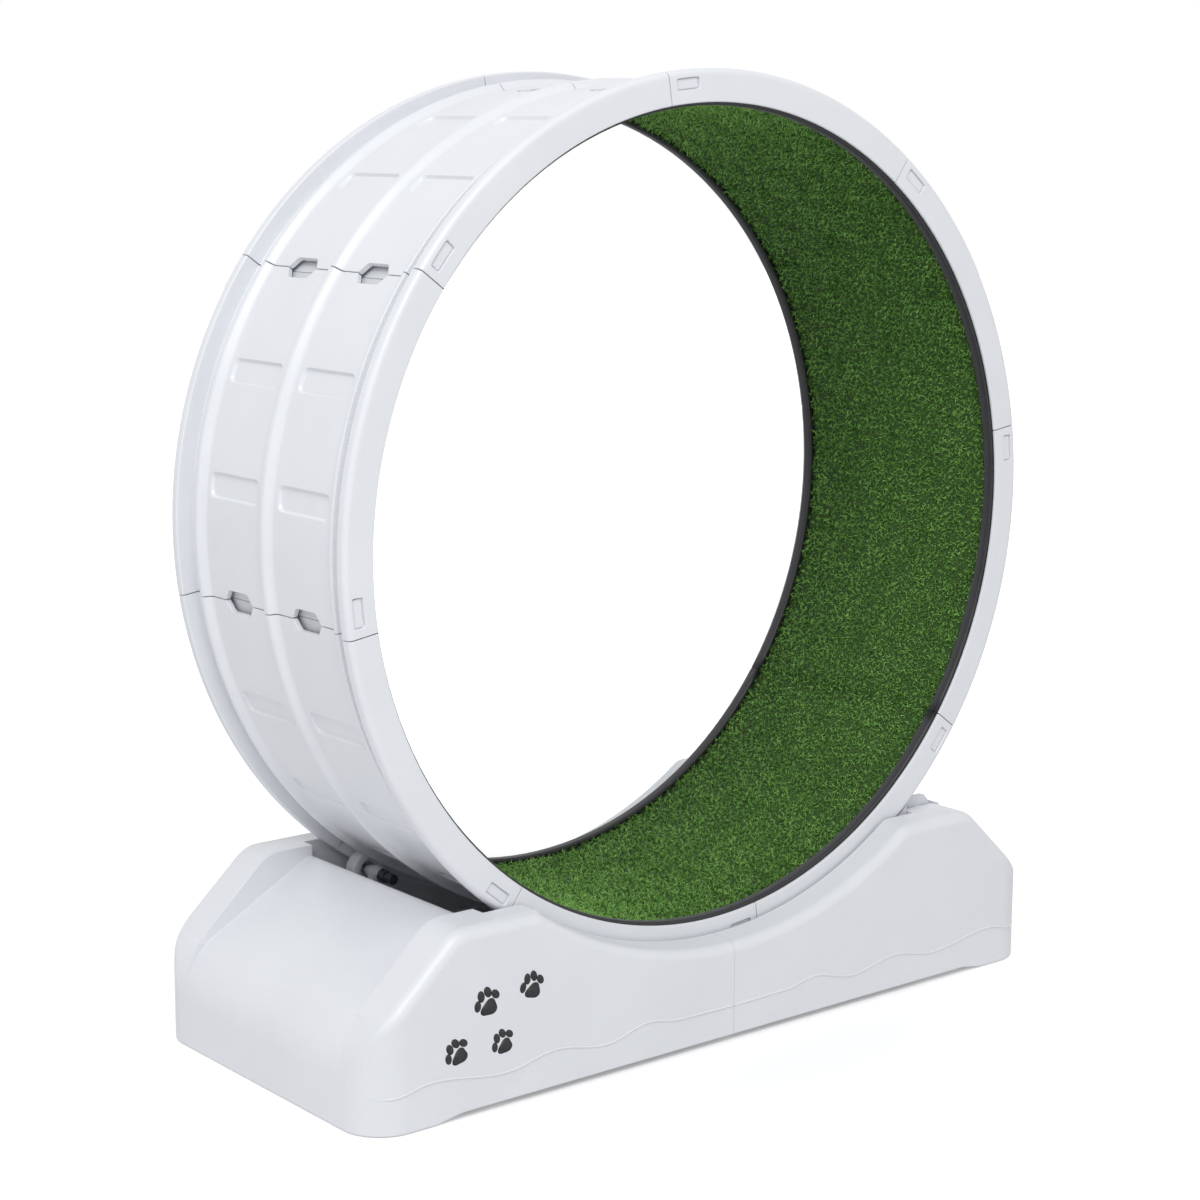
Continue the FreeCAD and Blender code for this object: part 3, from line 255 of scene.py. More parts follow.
def sink_latch_windows(bm):
    """Rounded recesses in both rim faces, near the segment's end."""
    middle = half_pitch - latch_angle
    reach = math.degrees(latch_half_length / latch_radius)
    for side in (-1, 1):
        strip = latch_strip(bm, side)
        for angle in (middle - reach, middle + reach):
            parts = set(strip)
            for face in strip:
                parts.update(face.verts)
                parts.update(face.edges)
            across = on_ring(1, angle + 90, 0)
            bmesh.ops.bisect_plane(bm, geom=list(parts), plane_co=(0, 0, 0), plane_no=across, dist=1e-6)
            strip = latch_strip(bm, side)
        inside = [face for face in strip if abs(angle_of(face.calc_center_median()) - middle) < reach]
        made = bmesh.ops.extrude_face_region(bm, geom=inside)["geom"]
        moved = [item for item in made if isinstance(item, bmesh.types.BMVert)]
        bmesh.ops.translate(bm, verts=moved, vec=(0, -side * latch_depth, 0))
        bmesh.ops.delete(bm, geom=[face for face in inside if face.is_valid], context="FACES_ONLY")
        corners = []
        for radius in (latch_radius - latch_half_height, latch_radius + latch_half_height):
            for angle in (middle - reach, middle + reach):
                corner = nearest(bm, on_ring(radius, angle, side * half_width))
                corners += [edge for edge in corner.link_edges
                            if abs(edge.other_vert(corner).co.y - corner.co.y) > 0.9 * latch_depth]
        round_edges_of(bm, corners, latch_corner, 4)


def add_latch_buttons(bm):
    """Latch buttons past the segment's start, which show in its neighbour's latch windows."""
    height, length = 2 * (latch_half_height - button_play), 2 * (latch_half_length - button_play)
    depth = button_recess + button_thickness / 2
    for side in (-1, 1):
        middle = on_ring(latch_radius, -half_pitch - latch_angle, side * (half_width - depth))
        shape = Matrix.Diagonal((height, button_thickness, length, 1))
        turn = Matrix.Rotation(math.radians(half_pitch + latch_angle), 4, "Y")
        verts = bmesh.ops.create_cube(bm, size=1, matrix=Matrix.Translation(middle) @ turn @ shape)["verts"]
        upright = {edge for v in verts for edge in v.link_edges
                   if abs(edge.verts[0].co.y - edge.verts[1].co.y) > button_thickness / 2}
        round_edges_of(bm, list(upright), button_corner, 3)


def add_node(tree, kind, **values):
    """Shader node with some of its sockets set."""
    made = tree.nodes.new("ShaderNode" + kind)
    for socket, value in values.items():
        made.inputs[socket.replace("_", " ")].default_value = value
    return made


def shade_ramp(tree, source, shades):
    """Colour ramp over a source socket, from pairs of place and colour."""
    ramp = tree.nodes.new("ShaderNodeValToRGB")
    steps = ramp.color_ramp.elements
    while len(steps) < len(shades):
        steps.new(0.5)
    for step, (position, colour) in zip(steps, shades):
        step.position = position
        step.color = (*colour, 1)
    tree.links.new(source, ramp.inputs[0])
    return ramp.outputs[0]


def clouded_finish(name, dark, light, cloud, rough, grain, relief, metal=0.0, gloss=0.5):
    """Finish that clouds faintly between two shades, with a fine grain; cloud, grain and relief are sizes."""
    material = bpy.data.materials.new(name)
    material.use_nodes = True
    tree = material.node_tree
    shader = tree.nodes["Principled BSDF"]
    shader.inputs["Metallic"].default_value = metal
    shader.inputs["Specular IOR Level"].default_value = gloss
    place = add_node(tree, "TexCoord")
    clouds = add_node(tree, "TexNoise", Scale=1 / cloud, Detail=4.0, Roughness=0.6)
    tree.links.new(place.outputs["Object"], clouds.inputs["Vector"])
    colour = shade_ramp(tree, clouds.outputs[0], [(0.35, dark), (0.65, light)])
    tree.links.new(colour, shader.inputs["Base Color"])
    span = add_node(tree, "MapRange", From_Min=0.3, From_Max=0.7, To_Min=rough[0], To_Max=rough[1])
    tree.links.new(clouds.outputs[0], span.inputs["Value"])
    tree.links.new(span.outputs["Result"], shader.inputs["Roughness"])
    pebbles = add_node(tree, "TexNoise", Scale=1 / grain, Detail=2.0, Roughness=0.5)
    tree.links.new(place.outputs["Object"], pebbles.inputs["Vector"])
    bump = add_node(tree, "Bump", Strength=1.0, Distance=relief)
    tree.links.new(pebbles.outputs[0], bump.inputs["Height"])
    tree.links.new(bump.outputs["Normal"], shader.inputs["Normal"])
    return material


def as_object(name, mesh, material):
    """Object at the origin that shows a mesh, smooth, in one material."""
    piece = bpy.data.objects.new(name, mesh)
    bpy.context.scene.collection.objects.link(piece)
    mesh.materials.clear()
    mesh.materials.append(material)
    mesh.shade_smooth()
    return piece


def from_bmesh(name, bm, material):
    """Piece from a finished bmesh, its faces pointing outwards."""
    bmesh.ops.recalc_face_normals(bm, faces=bm.faces)
    mesh = bpy.data.meshes.new(name)
    bm.to_mesh(mesh)
    bm.free()
    return as_object(name, mesh, material)


def break_edges(piece, width, angle=32, steps=2):
    """Small rounding on a piece's sharp edges, with shading that keeps its flat faces flat."""
    bevel = piece.modifiers.new("broken edges", "BEVEL")
    bevel.width = width
    bevel.segments = steps
    bevel.limit_method = "ANGLE"
    bevel.angle_limit = math.radians(angle)
    bevel.use_clamp_overlap = False
    bevel.miter_outer = "MITER_ARC"
    bevel.harden_normals = False
    normals = piece.modifiers.new("even shading", "WEIGHTED_NORMAL")
    normals.keep_sharp = True


ring_plastic = clouded_finish("ring plastic", (0.775, 0.795, 0.83), (0.80, 0.82, 0.855), 90 * mm,
                              (0.30, 0.36), 0.9 * mm, 0.012 * mm)
other_half = [(radius, -y, rounding) for radius, y, rounding in reversed(half_section)]
bm = rounded_section(half_section + other_half)
half_stations = [dimple_start, dimple_end, window_start, half_span]
sweep(bm, [-angle for angle in reversed(half_stations)] + half_stations, 1.9)
bmesh.ops.recalc_face_normals(bm, faces=bm.faces)
# The sweep is still open at both ends, and the pockets need faces that point outwards.
flange = [face for face in bm.faces if radius_of(face.calc_center_median()) > rib_radius]
if sum(face.normal.dot(face.calc_center_median()) for face in flange) < 0:
    bmesh.ops.reverse_faces(bm, faces=bm.faces)
open_windows(bm)
press_dimples(bm)
sink_latch_windows(bm)
bmesh.ops.holes_fill(bm, edges=[edge for edge in bm.edges if edge.is_boundary], sides=0)
add_latch_buttons(bm)
bmesh.ops.recalc_face_normals(bm, faces=bm.faces)
segment_mesh = bpy.data.meshes.new("ring segment form")
bm.to_mesh(segment_mesh)
bm.free()
for number in range(1, segment_count + 1):
    middle = first_joint + half_pitch * (2 * number - 1)
    mesh = segment_mesh.copy()
    mesh.transform(Matrix.Translation((0, 0, axle_height)) @ Matrix.Rotation(-math.radians(middle), 4, "Y"))
    segment = as_object("ring_segment_%d" % number, mesh, ring_plastic)
    break_edges(segment, 0.7 * mm)
    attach(segment, "wheel")
    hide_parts("wheel_segment_%d" % number)


# ------------------------------------------------------------------ Running floor
# Under the turf, each segment carries an inner panel of satin white plastic, held by four countersunk steel
# screws. The panels show through the windows at the joints.
def refinish(names, material):
    """Better material on CAD nodes whose shape stays."""
    for name in names:
        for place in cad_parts[name].material_slots:
            place.material = material


floor_plastic = clouded_finish("floor plastic", (0.66, 0.68, 0.71), (0.70, 0.72, 0.75), 60 * mm,
                               (0.42, 0.50), 0.8 * mm, 0.02 * mm)
zinc_steel = clouded_finish("zinc plated steel", (0.52, 0.53, 0.55), (0.66, 0.67, 0.69), 3 * mm,
                            (0.22, 0.38), 0.3 * mm, 0.01 * mm, metal=1.0)
refinish(["floor_panel_%d" % number for number in range(1, segment_count + 1)], floor_plastic)
refinish(["floor_screws"], zinc_steel)


# ------------------------------------------------------------------ Turf
# The cat runs on a mat of artificial grass: short bent blades of green plastic in a dark backing. It is glued
# to the running floor, with its seam at one joint.
turf_radius = wheel_radius - 30.3 * mm
backing_thickness = 2 * mm
backing_radius = turf_radius - backing_thickness
pile_inset = 0.2 * mm
turf_half_width = turf_high.y
turf_seam = first_joint - 2 * half_pitch
blade_length = 7.2 * mm
blade_width = 1.7 * mm
cells_across, cells_along = 9, 11
blades_in_cell = 128
cell_width = 2 * turf_half_width / cells_across
cell_length = backing_radius * math.radians(2 * half_pitch) / cells_along


def make_blade():
    """One upright blade with three sides, a knee at half its length and a pointed tip."""
    bm = bmesh.new()
    tip = bm.verts.layers.float.new("tip")
    bm.verts.layers.float.new("shade")
    bmesh.ops.create_cone(bm, cap_ends=True, segments=3, radius1=blade_width / 2, radius2=blade_width / 3,
                          depth=blade_length / 2, matrix=Matrix.Translation((0, 0, blade_length / 4)))
    top = [face for face in bm.faces if face.calc_center_median().z > blade_length * 0.49]
    point = bmesh.ops.poke(bm, faces=top)["verts"]
    bmesh.ops.translate(bm, verts=point, vec=(blade_width * 1.6, 0, blade_length * 0.42))
    bmesh.ops.scale(bm, verts=bm.verts, vec=(1, 0.45, 1))
    # The tip attribute is the height along the blade. The turf's colour reads it for painted shade at the
    # root and a painted highlight at the tip.
    for v in bm.verts:
        v[tip] = v.co.z / blade_length
    mesh = bpy.data.meshes.new("blade form")
    bm.to_mesh(mesh)
    bm.free()
    return mesh


def make_cell(blade, rng):
    """Square cell of the pile, laid flat: blades that lean and turn every way."""
    cell = bmesh.new()
    for number in range(blades_in_cell):
        first = len(cell.verts)
        cell.from_mesh(blade)
        cell.verts.ensure_lookup_table()
        shade = cell.verts.layers.float["shade"]
        lean = math.radians(rng.uniform(18, 76))
        place = Vector(((rng.random() - 0.5) * cell_width, (rng.random() - 0.5) * cell_width, 0))
        pose = (Matrix.Translation(place) @ Matrix.Rotation(rng.uniform(0, 2 * math.pi), 4, "Z")
                @ Matrix.Rotation(lean, 4, "Y") @ Matrix.Rotation(rng.uniform(0, 2 * math.pi), 4, "Z")
                @ Matrix.Scale(rng.uniform(0.75, 1.15), 4))
        own = rng.random()
        for v in cell.verts[first:]:
            v.co = pose @ v.co
            v[shade] = own
    mesh = bpy.data.meshes.new("pile cell form")
    cell.to_mesh(mesh)
    cell.free()
    return mesh


def make_pile():
    """Pile over one segment's length, bent round the inside of the wheel."""
    rng = random.Random(7)
    blade = make_blade()
    cells = [make_cell(blade, rng) for variant in range(4)]
    pile = bmesh.new()
    for along in range(cells_along):
        for across in range(cells_across):
            spot = Vector(((along + 0.5) * cell_length, (across + 0.5) * cell_width - turf_half_width, 0))
            placed = rng.choice(cells).copy()
            turn = Matrix.Rotation(math.radians(90 * rng.randrange(4)), 4, "Z")
            placed.transform(Matrix.Translation(spot) @ turn)
            pile.from_mesh(placed)
            bpy.data.meshes.remove(placed)
    edge = turf_half_width - pile_inset
    for v in pile.verts:
        along, across, up = v.co
        angle = math.degrees(along / backing_radius)
        v.co = on_ring(backing_radius - max(up, 0), angle, max(-edge, min(edge, across)))
    mesh = bpy.data.meshes.new("pile form")
    pile.to_mesh(mesh)
    pile.free()
    return mesh


def grass_finish():
    """Blades dark green at the root as painted shade in the pile, lighter at the tip as painted highlight,
    each with its own tone, in soft patches.
    """
    material = bpy.data.materials.new("turf blades")
    material.use_nodes = True
    tree = material.node_tree
    shader = tree.nodes["Principled BSDF"]
    shader.inputs["Roughness"].default_value = 0.55
    shader.inputs["Specular IOR Level"].default_value = 0.25
    tip = tree.nodes.new("ShaderNodeAttribute")
    tip.attribute_name = "tip"
    shade = tree.nodes.new("ShaderNodeAttribute")
    shade.attribute_name = "shade"
    place = add_node(tree, "TexCoord")
    patches = add_node(tree, "TexNoise", Scale=1 / (45 * mm), Detail=4.0, Roughness=0.65)
    tree.links.new(place.outputs["Object"], patches.inputs["Vector"])
    # Height along the blade plus each blade's own tone: low values give the painted shade of the root, high
    # values the painted highlight of the tip.
    painted_light_and_tone = tree.nodes.new("ShaderNodeMath")
    painted_light_and_tone.operation = "MULTIPLY_ADD"
    painted_light_and_tone.inputs[1].default_value = 0.55
    tree.links.new(tip.outputs["Fac"], painted_light_and_tone.inputs[0])
    own = tree.nodes.new("ShaderNodeMath")
    own.operation = "MULTIPLY"
    own.inputs[1].default_value = 0.5
    tree.links.new(shade.outputs["Fac"], own.inputs[0])
    tree.links.new(own.outputs[0], painted_light_and_tone.inputs[2])
    spread = add_node(tree, "MapRange", From_Min=0.3, From_Max=0.7, To_Min=-0.10, To_Max=0.10)
    tree.links.new(patches.outputs[0], spread.inputs["Value"])
    total = tree.nodes.new("ShaderNodeMath")
    tree.links.new(painted_light_and_tone.outputs[0], total.inputs[0])
    tree.links.new(spread.outputs["Result"], total.inputs[1])
    # The root colour is painted shade deep in the pile, and the tip colour is a painted highlight; the middle
    # green is the blades' own colour.
    painted_shade_root_green, middle_green, painted_highlight_tip_green = (0.026, 0.082, 0.009), (0.140, 0.370, 0.052), (0.470, 0.860, 0.240)
    colour = shade_ramp(tree, total.outputs[0], [(0.08, painted_shade_root_green), (0.40, middle_green), (0.80, painted_highlight_tip_green)])
    tree.links.new(colour, shader.inputs["Base Color"])
    return material


turf_blades = grass_finish()
pile_mesh = make_pile()
for number in range(segment_count):
    mesh = pile_mesh.copy()
    start = turf_seam + 2 * half_pitch * number
    mesh.transform(Matrix.Translation((0, 0, axle_height)) @ Matrix.Rotation(-math.radians(start), 4, "Y"))
    pile = as_object("turf_pile_%d" % (number + 1), mesh, turf_blades)
    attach(pile, "wheel")


def ring_between(name, corners, material, gap):
    """Ring swept from one section, open by a gap at the turf's seam, with both ends closed."""
    bm = rounded_section(corners)
    half_gap = math.degrees(gap / 2 / turf_radius)
    sweep(bm, [turf_seam + half_gap, turf_seam + 360 - half_gap], 2.5)
    bmesh.ops.holes_fill(bm, edges=[edge for edge in bm.edges if edge.is_boundary], sides=0)
    bmesh.ops.translate(bm, verts=bm.verts, vec=(0, 0, axle_height))
    return from_bmesh(name, bm, material)


backing_cloth = clouded_finish("turf backing", (0.026, 0.070, 0.010), (0.045, 0.105, 0.018), 8 * mm,
                               (0.8, 0.9), 1.5 * mm, 0.5 * mm)
section = [(turf_radius, turf_half_width, 0), (backing_radius, turf_half_width, 0),
           (backing_radius, -turf_half_width, 0), (turf_radius, -turf_half_width, 0)]
backing = ring_between("turf_backing", section, backing_cloth, 0.1 * mm)
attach(backing, "wheel")
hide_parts("turf_mat")


# ------------------------------------------------------------------ Edge trims
# Strips of black rubber lie in the corners between the running floor and the rim faces, one on each side.
# Their inner edges are rounded, and each strip's ends meet at the turf's seam.
trim_rubber = clouded_finish("trim rubber", (0.017, 0.017, 0.021), (0.026, 0.026, 0.031), 25 * mm,
                             (0.38, 0.50), 0.5 * mm, 0.02 * mm)
trim_height = 9.4 * mm
trim_corner = 3 * mm
for node in ("edge_trim_front", "edge_trim_rear"):
    low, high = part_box(node)
    top = turf_radius - trim_height
    section = [(turf_radius, low.y, 0), (top, low.y, trim_corner), (top, high.y, trim_corner),
               (turf_radius, high.y, 0)]
    trim = ring_between("rubber_" + node, section, trim_rubber, 0.8 * mm)
    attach(trim, "wheel")
    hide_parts(node)


# ------------------------------------------------------------------ Rollers
# Four white plastic rollers, each moulded round a small steel ball bearing, carry the ring by its two tracks.
# Their rims are rounded and their faces have a shallow step down to the recess of the bearing.
roller_plastic = clouded_finish("roller plastic", (0.78, 0.795, 0.82), (0.81, 0.825, 0.85), 30 * mm,
                                (0.28, 0.36), 0.7 * mm, 0.015 * mm)
CORNERS = ("front_left", "front_right", "rear_left", "rear_right")


def turned_ring(corners, centre):
    """Ring about the Y axis turned from a closed section of radius, place along the axis and rounding."""
    bm = rounded_section(corners)
    bmesh.ops.spin(bm, geom=bm.verts[:] + bm.edges[:], cent=(0, 0, 0), axis=(0, 1, 0), angle=2 * math.pi,
                   steps=64, use_merge=True)
    bmesh.ops.translate(bm, verts=bm.verts, vec=centre)
    return bm


for corner in CORNERS:
    low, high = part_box("roller_tyre_" + corner)
    centre = (low + high) / 2
    tyre_radius = (high.z - low.z) / 2
    half = (high.y - low.y) / 2
    section = [(10 * mm, half - 4.8 * mm, 0.6 * mm), (13.6 * mm, half - 4.4 * mm, 0.8 * mm),
               (15 * mm, half, 0.6 * mm), (tyre_radius, half, 2.4 * mm)]
    section += [(radius, -y, rounding) for radius, y, rounding in reversed(section)]
    tyre = from_bmesh("roller_" + corner + "_tyre", turned_ring(section, centre), roller_plastic)
    break_edges(tyre, 0.3 * mm)
    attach(tyre, "roller_" + corner)
    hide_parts("roller_tyre_" + corner)
    refinish(["bearing_race_" + corner, "bearing_balls_" + corner], zinc_steel)
refinish(["bearing_inner_races"], zinc_steel)


# ------------------------------------------------------------------ Bolts, nuts, caps and brackets
# Each roller turns on a steel bolt held by a moulded bracket that is screwed to the deck. Behind the bracket
# come a washer, a dark nylon nut and a dark cap with grip ribs over the bolt's end.
bracket_plastic = clouded_finish("bracket plastic", (0.60, 0.62, 0.65), (0.65, 0.67, 0.70), 30 * mm,
                                 (0.42, 0.50), 0.6 * mm, 0.03 * mm)
dark_plastic = clouded_finish("dark plastic", (0.030, 0.034, 0.042), (0.050, 0.056, 0.068), 8 * mm,
                              (0.34, 0.46), 0.4 * mm, 0.02 * mm)
refinish(["roller_bolts", "roller_washers", "bracket_screws"], zinc_steel)


def from_node(name, node, material, flatness=0.4):
    """Piece in a CAD node's shape: its triangles merged, and joined again where they lie in one plane."""
    bm = bmesh.new()
    bm.from_mesh(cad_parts[node].data)
    bmesh.ops.remove_doubles(bm, verts=bm.verts, dist=1e-6)
    bmesh.ops.dissolve_limit(bm, angle_limit=math.radians(flatness), use_dissolve_boundaries=False,
                             verts=bm.verts, edges=bm.edges)
    return from_bmesh(name, bm, material)


for corner in CORNERS:
    bracket = from_node("bracket_" + corner, "roller_bracket_" + corner, bracket_plastic)
    break_edges(bracket, 0.8 * mm)
    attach(bracket, "base")
    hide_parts("roller_bracket_" + corner)

nuts = from_node("dark_nuts", "roller_nuts", dark_plastic)
break_edges(nuts, 0.7 * mm)
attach(nuts, "base")
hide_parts("roller_nuts")

cap_length = 14 * mm
cap_radius = 6.5 * mm
rib_count = 18
groove_share = 0.94
caps = bmesh.new()
cap_low, cap_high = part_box("bolt_caps")
for corner in CORNERS:
    low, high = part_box("roller_tyre_" + corner)
    inwards = -1 if low.y > 0 else 1
    middle = (low + high) / 2
    cap_start = cap_low.y if inwards > 0 else cap_high.y
    end = bmesh.ops.create_circle(caps, cap_ends=True, segments=2 * rib_count, radius=cap_radius,
                                  matrix=Matrix.Rotation(math.radians(90), 4, "X"))["verts"]
    centre = Vector((middle.x, cap_start, middle.z))
    bmesh.ops.translate(caps, verts=end, vec=centre)
    for groove in end[1::2]:
        groove.co = centre + (groove.co - centre) * groove_share
    face = end[0].link_faces[0]
    made = bmesh.ops.extrude_face_region(caps, geom=[face], use_keep_orig=True)["geom"]
    moved = [item for item in made if isinstance(item, bmesh.types.BMVert)]
    bmesh.ops.translate(caps, verts=moved, vec=(0, inwards * cap_length, 0))
cap_piece = from_bmesh("ribbed_caps", caps, dark_plastic)
break_edges(cap_piece, 0.8 * mm, angle=50)
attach(cap_piece, "base")
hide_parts("bolt_caps")


# ------------------------------------------------------------------ Base halves
# The base is two moulded halves of the same white plastic, turned half round to each other and meeting at a
# fine seam under the wheel. Each has two hollow cheeks with rounded top edges and a sloping cover at its end.
# A wide bend rounds the corner off where the cheeks' slopes would meet the end wall.
base_plastic = clouded_finish("base plastic", (0.765, 0.785, 0.82), (0.79, 0.81, 0.845), 120 * mm,
                              (0.30, 0.36), 0.9 * mm, 0.012 * mm)
end_height, end_fall, end_run, end_rounding = 101.5 * mm, 105.5 * mm, 114 * mm, 110 * mm
base_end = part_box("base_half_right")[1].x
cover_half_width = 157 * mm
sharp_angle = math.radians(32)
turn_angle = math.atan2(end_run, end_fall)
turn_low = end_height - end_rounding * math.tan(turn_angle / 2)
turn_high = turn_low + end_rounding * math.sin(turn_angle)


def round_end(mesh, side):
    """Wide bend from the cheeks' slopes down to the end wall, and rounding for all edges but the seam's.

    The crease between cheek and cover fades out on the end wall, and stays unrounded there as well.
    """
    bm = bmesh.new()
    bm.from_mesh(mesh)
    cuts = 14
    for step in range(cuts + 1):
        height = turn_low + (turn_high - turn_low) * step / cuts
        outer = [face for face in bm.faces if max(side * v.co.x for v in face.verts) > base_end - 30 * mm]
        parts = set(outer)
        for face in outer:
            parts.update(face.edges)
            parts.update(face.verts)
        bmesh.ops.bisect_plane(bm, geom=list(parts), plane_co=(0, 0, height), plane_no=(0, 0, 1), dist=1e-6)
    for v in bm.verts:
        if turn_low < v.co.z <= turn_high:
            reach = base_end - end_rounding + math.sqrt(end_rounding ** 2 - (v.co.z - turn_low) ** 2)
            v.co.x = side * min(side * v.co.x, reach)
    weight = bm.edges.layers.float.new("bevel_weight_edge")
    for edge in bm.edges:
        if edge.is_manifold and edge.calc_face_angle() > sharp_angle:
            at_seam = max(abs(v.co.x) for v in edge.verts) < mm
            by_wall = min(side * v.co.x for v in edge.verts) > base_end - 26 * mm
            by_cover = max(abs(abs(v.co.y) - cover_half_width) for v in edge.verts) < mm
            unrounded = at_seam or (by_wall and by_cover)
            edge[weight] = 0 if unrounded else 1
            edge.smooth = not unrounded
    bm.to_mesh(mesh)
    bm.free()


for node, side in (("base_half_right", 1), ("base_half_left", -1)):
    half_base = from_node("moulded_" + node, node, base_plastic)
    round_end(half_base.data, side)
    break_edges(half_base, 0.9 * mm)
    half_base.modifiers["broken edges"].limit_method = "WEIGHT"
    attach(half_base, "base")
    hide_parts(node)


# ------------------------------------------------------------------ Wavy bead
# A fine moulded bead runs in waves along the lower part of the base's front and back and dies out on the
# corners.
# The line's turns are pairs of distance from the seam and height, in millimetres.
cheek_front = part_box("base_half_right")[1].y
corner_radius = 50 * mm
bead_turns = [(0, 42), (80, 43), (128, 50), (190, 38), (262, 48.5), (328, 38.5), (428, 50), (478, 42),
              (520, 42)]
bead_radius, bead_reach = 1.2 * mm, 492 * mm
bead_steps = 120
flat_reach = base_end - corner_radius


def bead_place(x, side):
    """Point of the bead's line on the base's outer face."""
    past = max(0.0, abs(x) - flat_reach)
    back = corner_radius - math.sqrt(corner_radius * corner_radius - past * past)
    for (start, low), (end, high) in zip(bead_turns, bead_turns[1:]):
        if start * mm <= abs(x) <= end * mm:
            swing = (1 - math.cos(math.pi * (abs(x) / mm - start) / (end - start))) / 2
            return Vector((x, side * (cheek_front - back), (low + (high - low) * swing) * mm))


def make_bead(name, side, start, end):
    """Bead as a closed mesh, swept along its line."""
    line = bpy.data.curves.new(name + " line", "CURVE")
    line.dimensions = "3D"
    line.bevel_depth = bead_radius
    line.bevel_resolution = 2
    line.use_fill_caps = True
    spline = line.splines.new("POLY")
    spline.points.add(bead_steps - 1)
    for index, point in enumerate(spline.points):
        x = start + (end - start) * index / (bead_steps - 1)
        point.co = (*bead_place(x, side), 1)
        point.radius = min(1.0, 0.15 + (bead_reach - abs(x)) / (20 * mm))
    carrier = bpy.data.objects.new(name + " carrier", line)
    bpy.context.scene.collection.objects.link(carrier)
    swept = bpy.data.meshes.new_from_object(carrier)
    bpy.data.objects.remove(carrier)
    bm = bmesh.new()
    bm.from_mesh(swept)
    bmesh.ops.remove_doubles(bm, verts=bm.verts, dist=1e-7)
    return from_bmesh(name, bm, base_plastic)


for face, side in (("front", -1), ("rear", 1)):
    for half, start, end in (("left", -bead_reach, -0.3 * mm), ("right", 0.3 * mm, bead_reach)):
        bead = make_bead("wavy_bead_%s_%s" % (face, half), side, start, end)
        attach(bead, "base")


# ------------------------------------------------------------------ Printed paws
# A small generic print of dark paw marks decorates the left of the base's front. The marks are thin layers of
# ink. A paw is its place, height and size in millimetres and its lean; a toe, its place, half size and lean.
paw_ink = clouded_finish("paw ink", (0.012, 0.012, 0.014), (0.020, 0.020, 0.022), 12 * mm, (0.40, 0.50),
                         0.5 * mm, 0.01 * mm)
ink_thickness = 0.15 * mm
paw_places = [(-391, 72, 33, -36), (-352, 118, 35, -22), (-331, 70, 31, -30), (-293, 124, 33, -12)]
toes = [(-0.72, 0.42, 0.25, 0.36, 24), (-0.27, 0.86, 0.26, 0.38, 8), (0.27, 0.86, 0.26, 0.38, -8),
        (0.72, 0.42, 0.25, 0.36, -24)]
pad_drop, pad_lobes = 0.12, 0.13


def add_spot(bm, across, up, width, height, turn, paw):
    """One flat oval in a paw print."""
    shape = (paw @ Matrix.Translation((across, 0, up)) @ Matrix.Rotation(math.radians(turn), 4, "Y")
             @ Matrix.Diagonal((width, 1, height, 1)) @ Matrix.Rotation(math.radians(90), 4, "X"))
    return bmesh.ops.create_circle(bm, cap_ends=True, segments=28, radius=1, matrix=shape)["verts"]


prints = bmesh.new()
for x, z, size, turn in paw_places:
    paw = (Matrix.Translation((x * mm, -cheek_front, z * mm)) @ Matrix.Rotation(math.radians(turn), 4, "Y")
           @ Matrix.Scale(size / 2 * mm, 4))
    for across, up, width, height, lean in toes:
        add_spot(prints, across, up, width, height, lean, paw)
    pad = add_spot(prints, 0, -pad_drop, 0.62, 0.5, 0, paw)
    middle = paw @ Vector((0, 0, -pad_drop))
    for index, v in enumerate(pad):
        around = 2 * math.pi * index / len(pad)
        v.co = middle + (v.co - middle) * (1 + pad_lobes * math.cos(3 * around + math.pi / 2))
made = bmesh.ops.extrude_face_region(prints, geom=prints.faces[:], use_keep_orig=True)["geom"]
moved = [item for item in made if isinstance(item, bmesh.types.BMVert)]
bmesh.ops.translate(prints, verts=moved, vec=(0, -ink_thickness, 0))
paw_prints = from_bmesh("paw_prints", prints, paw_ink)
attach(paw_prints, "base")


# ------------------------------------------------------------------ Joining plate and feet
# Under the deck, a zinc-plated plate and its screws tie the halves together. The base stands on four rubber
# feet with a moulded ring, pressed into recesses.
plate = from_node("tie_plate", "joining_plate", zinc_steel)
break_edges(plate, 0.5 * mm)
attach(plate, "base")
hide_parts("joining_plate")
refinish(["joining_screws"], zinc_steel)

foot_rubber = clouded_finish("foot rubber", (0.030, 0.030, 0.032), (0.050, 0.050, 0.052), 15 * mm,
                             (0.6, 0.75), 0.6 * mm, 0.05 * mm)
low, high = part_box("rubber_feet")
foot_radius, foot_edge, groove_depth = 19 * mm, 0.8 * mm, 1.2 * mm
foot_profile = [(0, high.z), (foot_radius, high.z), (foot_radius, foot_edge), (foot_radius - foot_edge, 0),
                (13 * mm, 0), (12.5 * mm, groove_depth), (9.5 * mm, groove_depth), (9 * mm, 0), (0, 0)]
feet = bmesh.new()
for side_x in (-1, 1):
    for side_y in (-1, 1):
        middle = Vector((side_x * (high.x - foot_radius), side_y * (high.y - foot_radius), 0))
        verts = [feet.verts.new(middle + Vector((radius, 0, z))) for radius, z in foot_profile]
        edges = [feet.edges.new(pair) for pair in zip(verts, verts[1:])]
        bmesh.ops.spin(feet, geom=verts + edges, cent=middle, axis=(0, 0, 1), angle=2 * math.pi, steps=48,
                       use_merge=True)
bmesh.ops.remove_doubles(feet, verts=feet.verts, dist=1e-6)
foot_pads = from_bmesh("foot_pads", feet, foot_rubber)
break_edges(foot_pads, 0.3 * mm)
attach(foot_pads, "base")
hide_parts("rubber_feet")


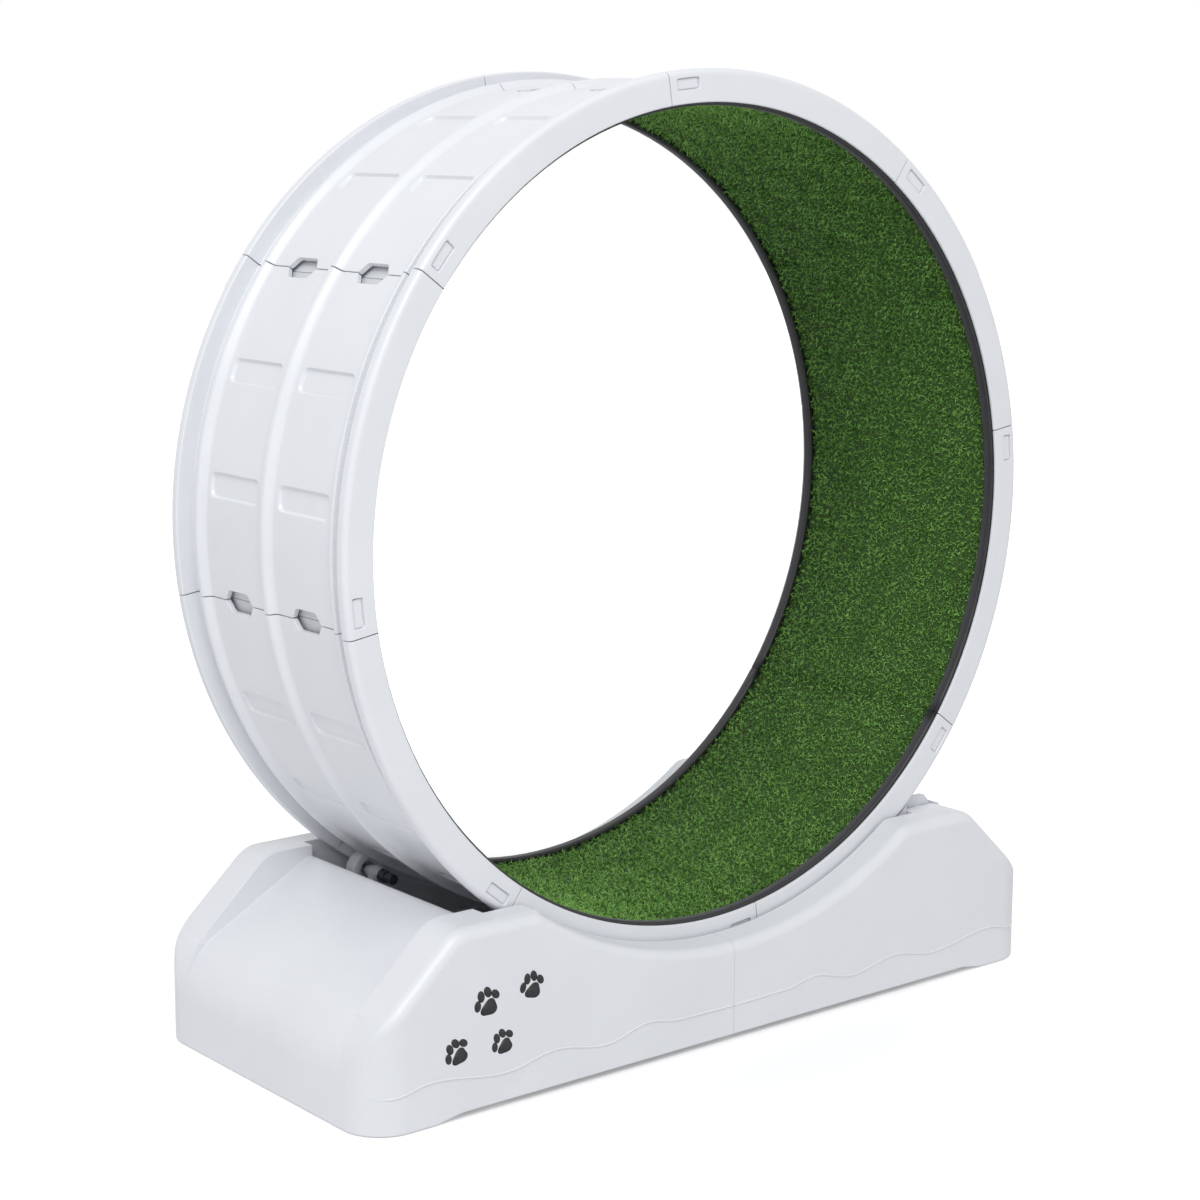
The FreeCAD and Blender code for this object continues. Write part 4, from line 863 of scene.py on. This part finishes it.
# ------------------------------------------------------------------ Stop slide
# A white moulded slide stands in its guide behind the front cheek at the right end. Pushed all the way in,
# its slanting shoe would press on the wheel's flange and hold it.
slide = from_node("moulded_stop_slide", "stop_slide", base_plastic)
break_edges(slide, 0.8 * mm, steps=3)
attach(slide, "slide")
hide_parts("stop_slide")
guide = from_node("moulded_stop_guide", "stop_guide", base_plastic)
break_edges(guide, 0.8 * mm, steps=3)
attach(guide, "base")
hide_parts("stop_guide")


# ------------------------------------------------------------------ Floor and light
# The object stands on a plain white floor in even, soft light: a pale surround and one broad lamp from the
# upper left, as in a product studio. The camera and glossy rays see the surround as white, and the camera
# sees the floor fade to white away from the object.
floor_mesh = bpy.data.meshes.new("studio floor")
sheet = bmesh.new()
bmesh.ops.create_grid(sheet, x_segments=1, y_segments=1, size=12)
sheet.to_mesh(floor_mesh)
sheet.free()
floor_paint = bpy.data.materials.new("studio floor")
floor_paint.use_nodes = True
tree = floor_paint.node_tree
shader = tree.nodes["Principled BSDF"]
shader.inputs["Base Color"].default_value = (0.88, 0.88, 0.89, 1)
shader.inputs["Roughness"].default_value = 0.9
shader.inputs["Specular IOR Level"].default_value = 0.1
shader.inputs["Emission Color"].default_value = (1, 1, 1, 1)
rays = tree.nodes.new("ShaderNodeLightPath")
glow = tree.nodes.new("ShaderNodeMath")
glow.operation = "MULTIPLY"
place = add_node(tree, "TexCoord")
away = tree.nodes.new("ShaderNodeVectorMath")
away.operation = "LENGTH"
tree.links.new(place.outputs["Object"], away.inputs[0])
fade = add_node(tree, "MapRange", From_Min=0.35, From_Max=1.4, To_Min=0.24, To_Max=0.9)
tree.links.new(away.outputs["Value"], fade.inputs["Value"])
tree.links.new(fade.outputs["Result"], glow.inputs[1])
tree.links.new(rays.outputs["Is Camera Ray"], glow.inputs[0])
tree.links.new(glow.outputs[0], shader.inputs["Emission Strength"])
floor = as_object("studio_floor", floor_mesh, floor_paint)

world = bpy.data.worlds.new("studio")
bpy.context.scene.world = world
world.use_nodes = True
tree = world.node_tree
surround = tree.nodes["Background"]
surround.inputs["Color"].default_value = (1, 1, 1, 1)
rays = tree.nodes.new("ShaderNodeLightPath")
seen = tree.nodes.new("ShaderNodeMath")
seen.operation = "MAXIMUM"
tree.links.new(rays.outputs["Is Camera Ray"], seen.inputs[0])
tree.links.new(rays.outputs["Is Glossy Ray"], seen.inputs[1])
level = add_node(tree, "MapRange", To_Min=0.60, To_Max=1.0)
tree.links.new(seen.outputs[0], level.inputs["Value"])
tree.links.new(level.outputs["Result"], surround.inputs["Strength"])

lamp_data = bpy.data.lights.new("broad lamp", "AREA")
lamp_data.energy = 124
lamp_data.size = 3.0
lamp = bpy.data.objects.new("broad lamp", lamp_data)
bpy.context.scene.collection.objects.link(lamp)
lamp_place = Vector((-2.4, -2.6, 4.2))
lamp.location = lamp_place
lamp.rotation_euler = (Vector((0, 0, 0.4)) - lamp_place).to_track_quat("-Z", "Y").to_euler()
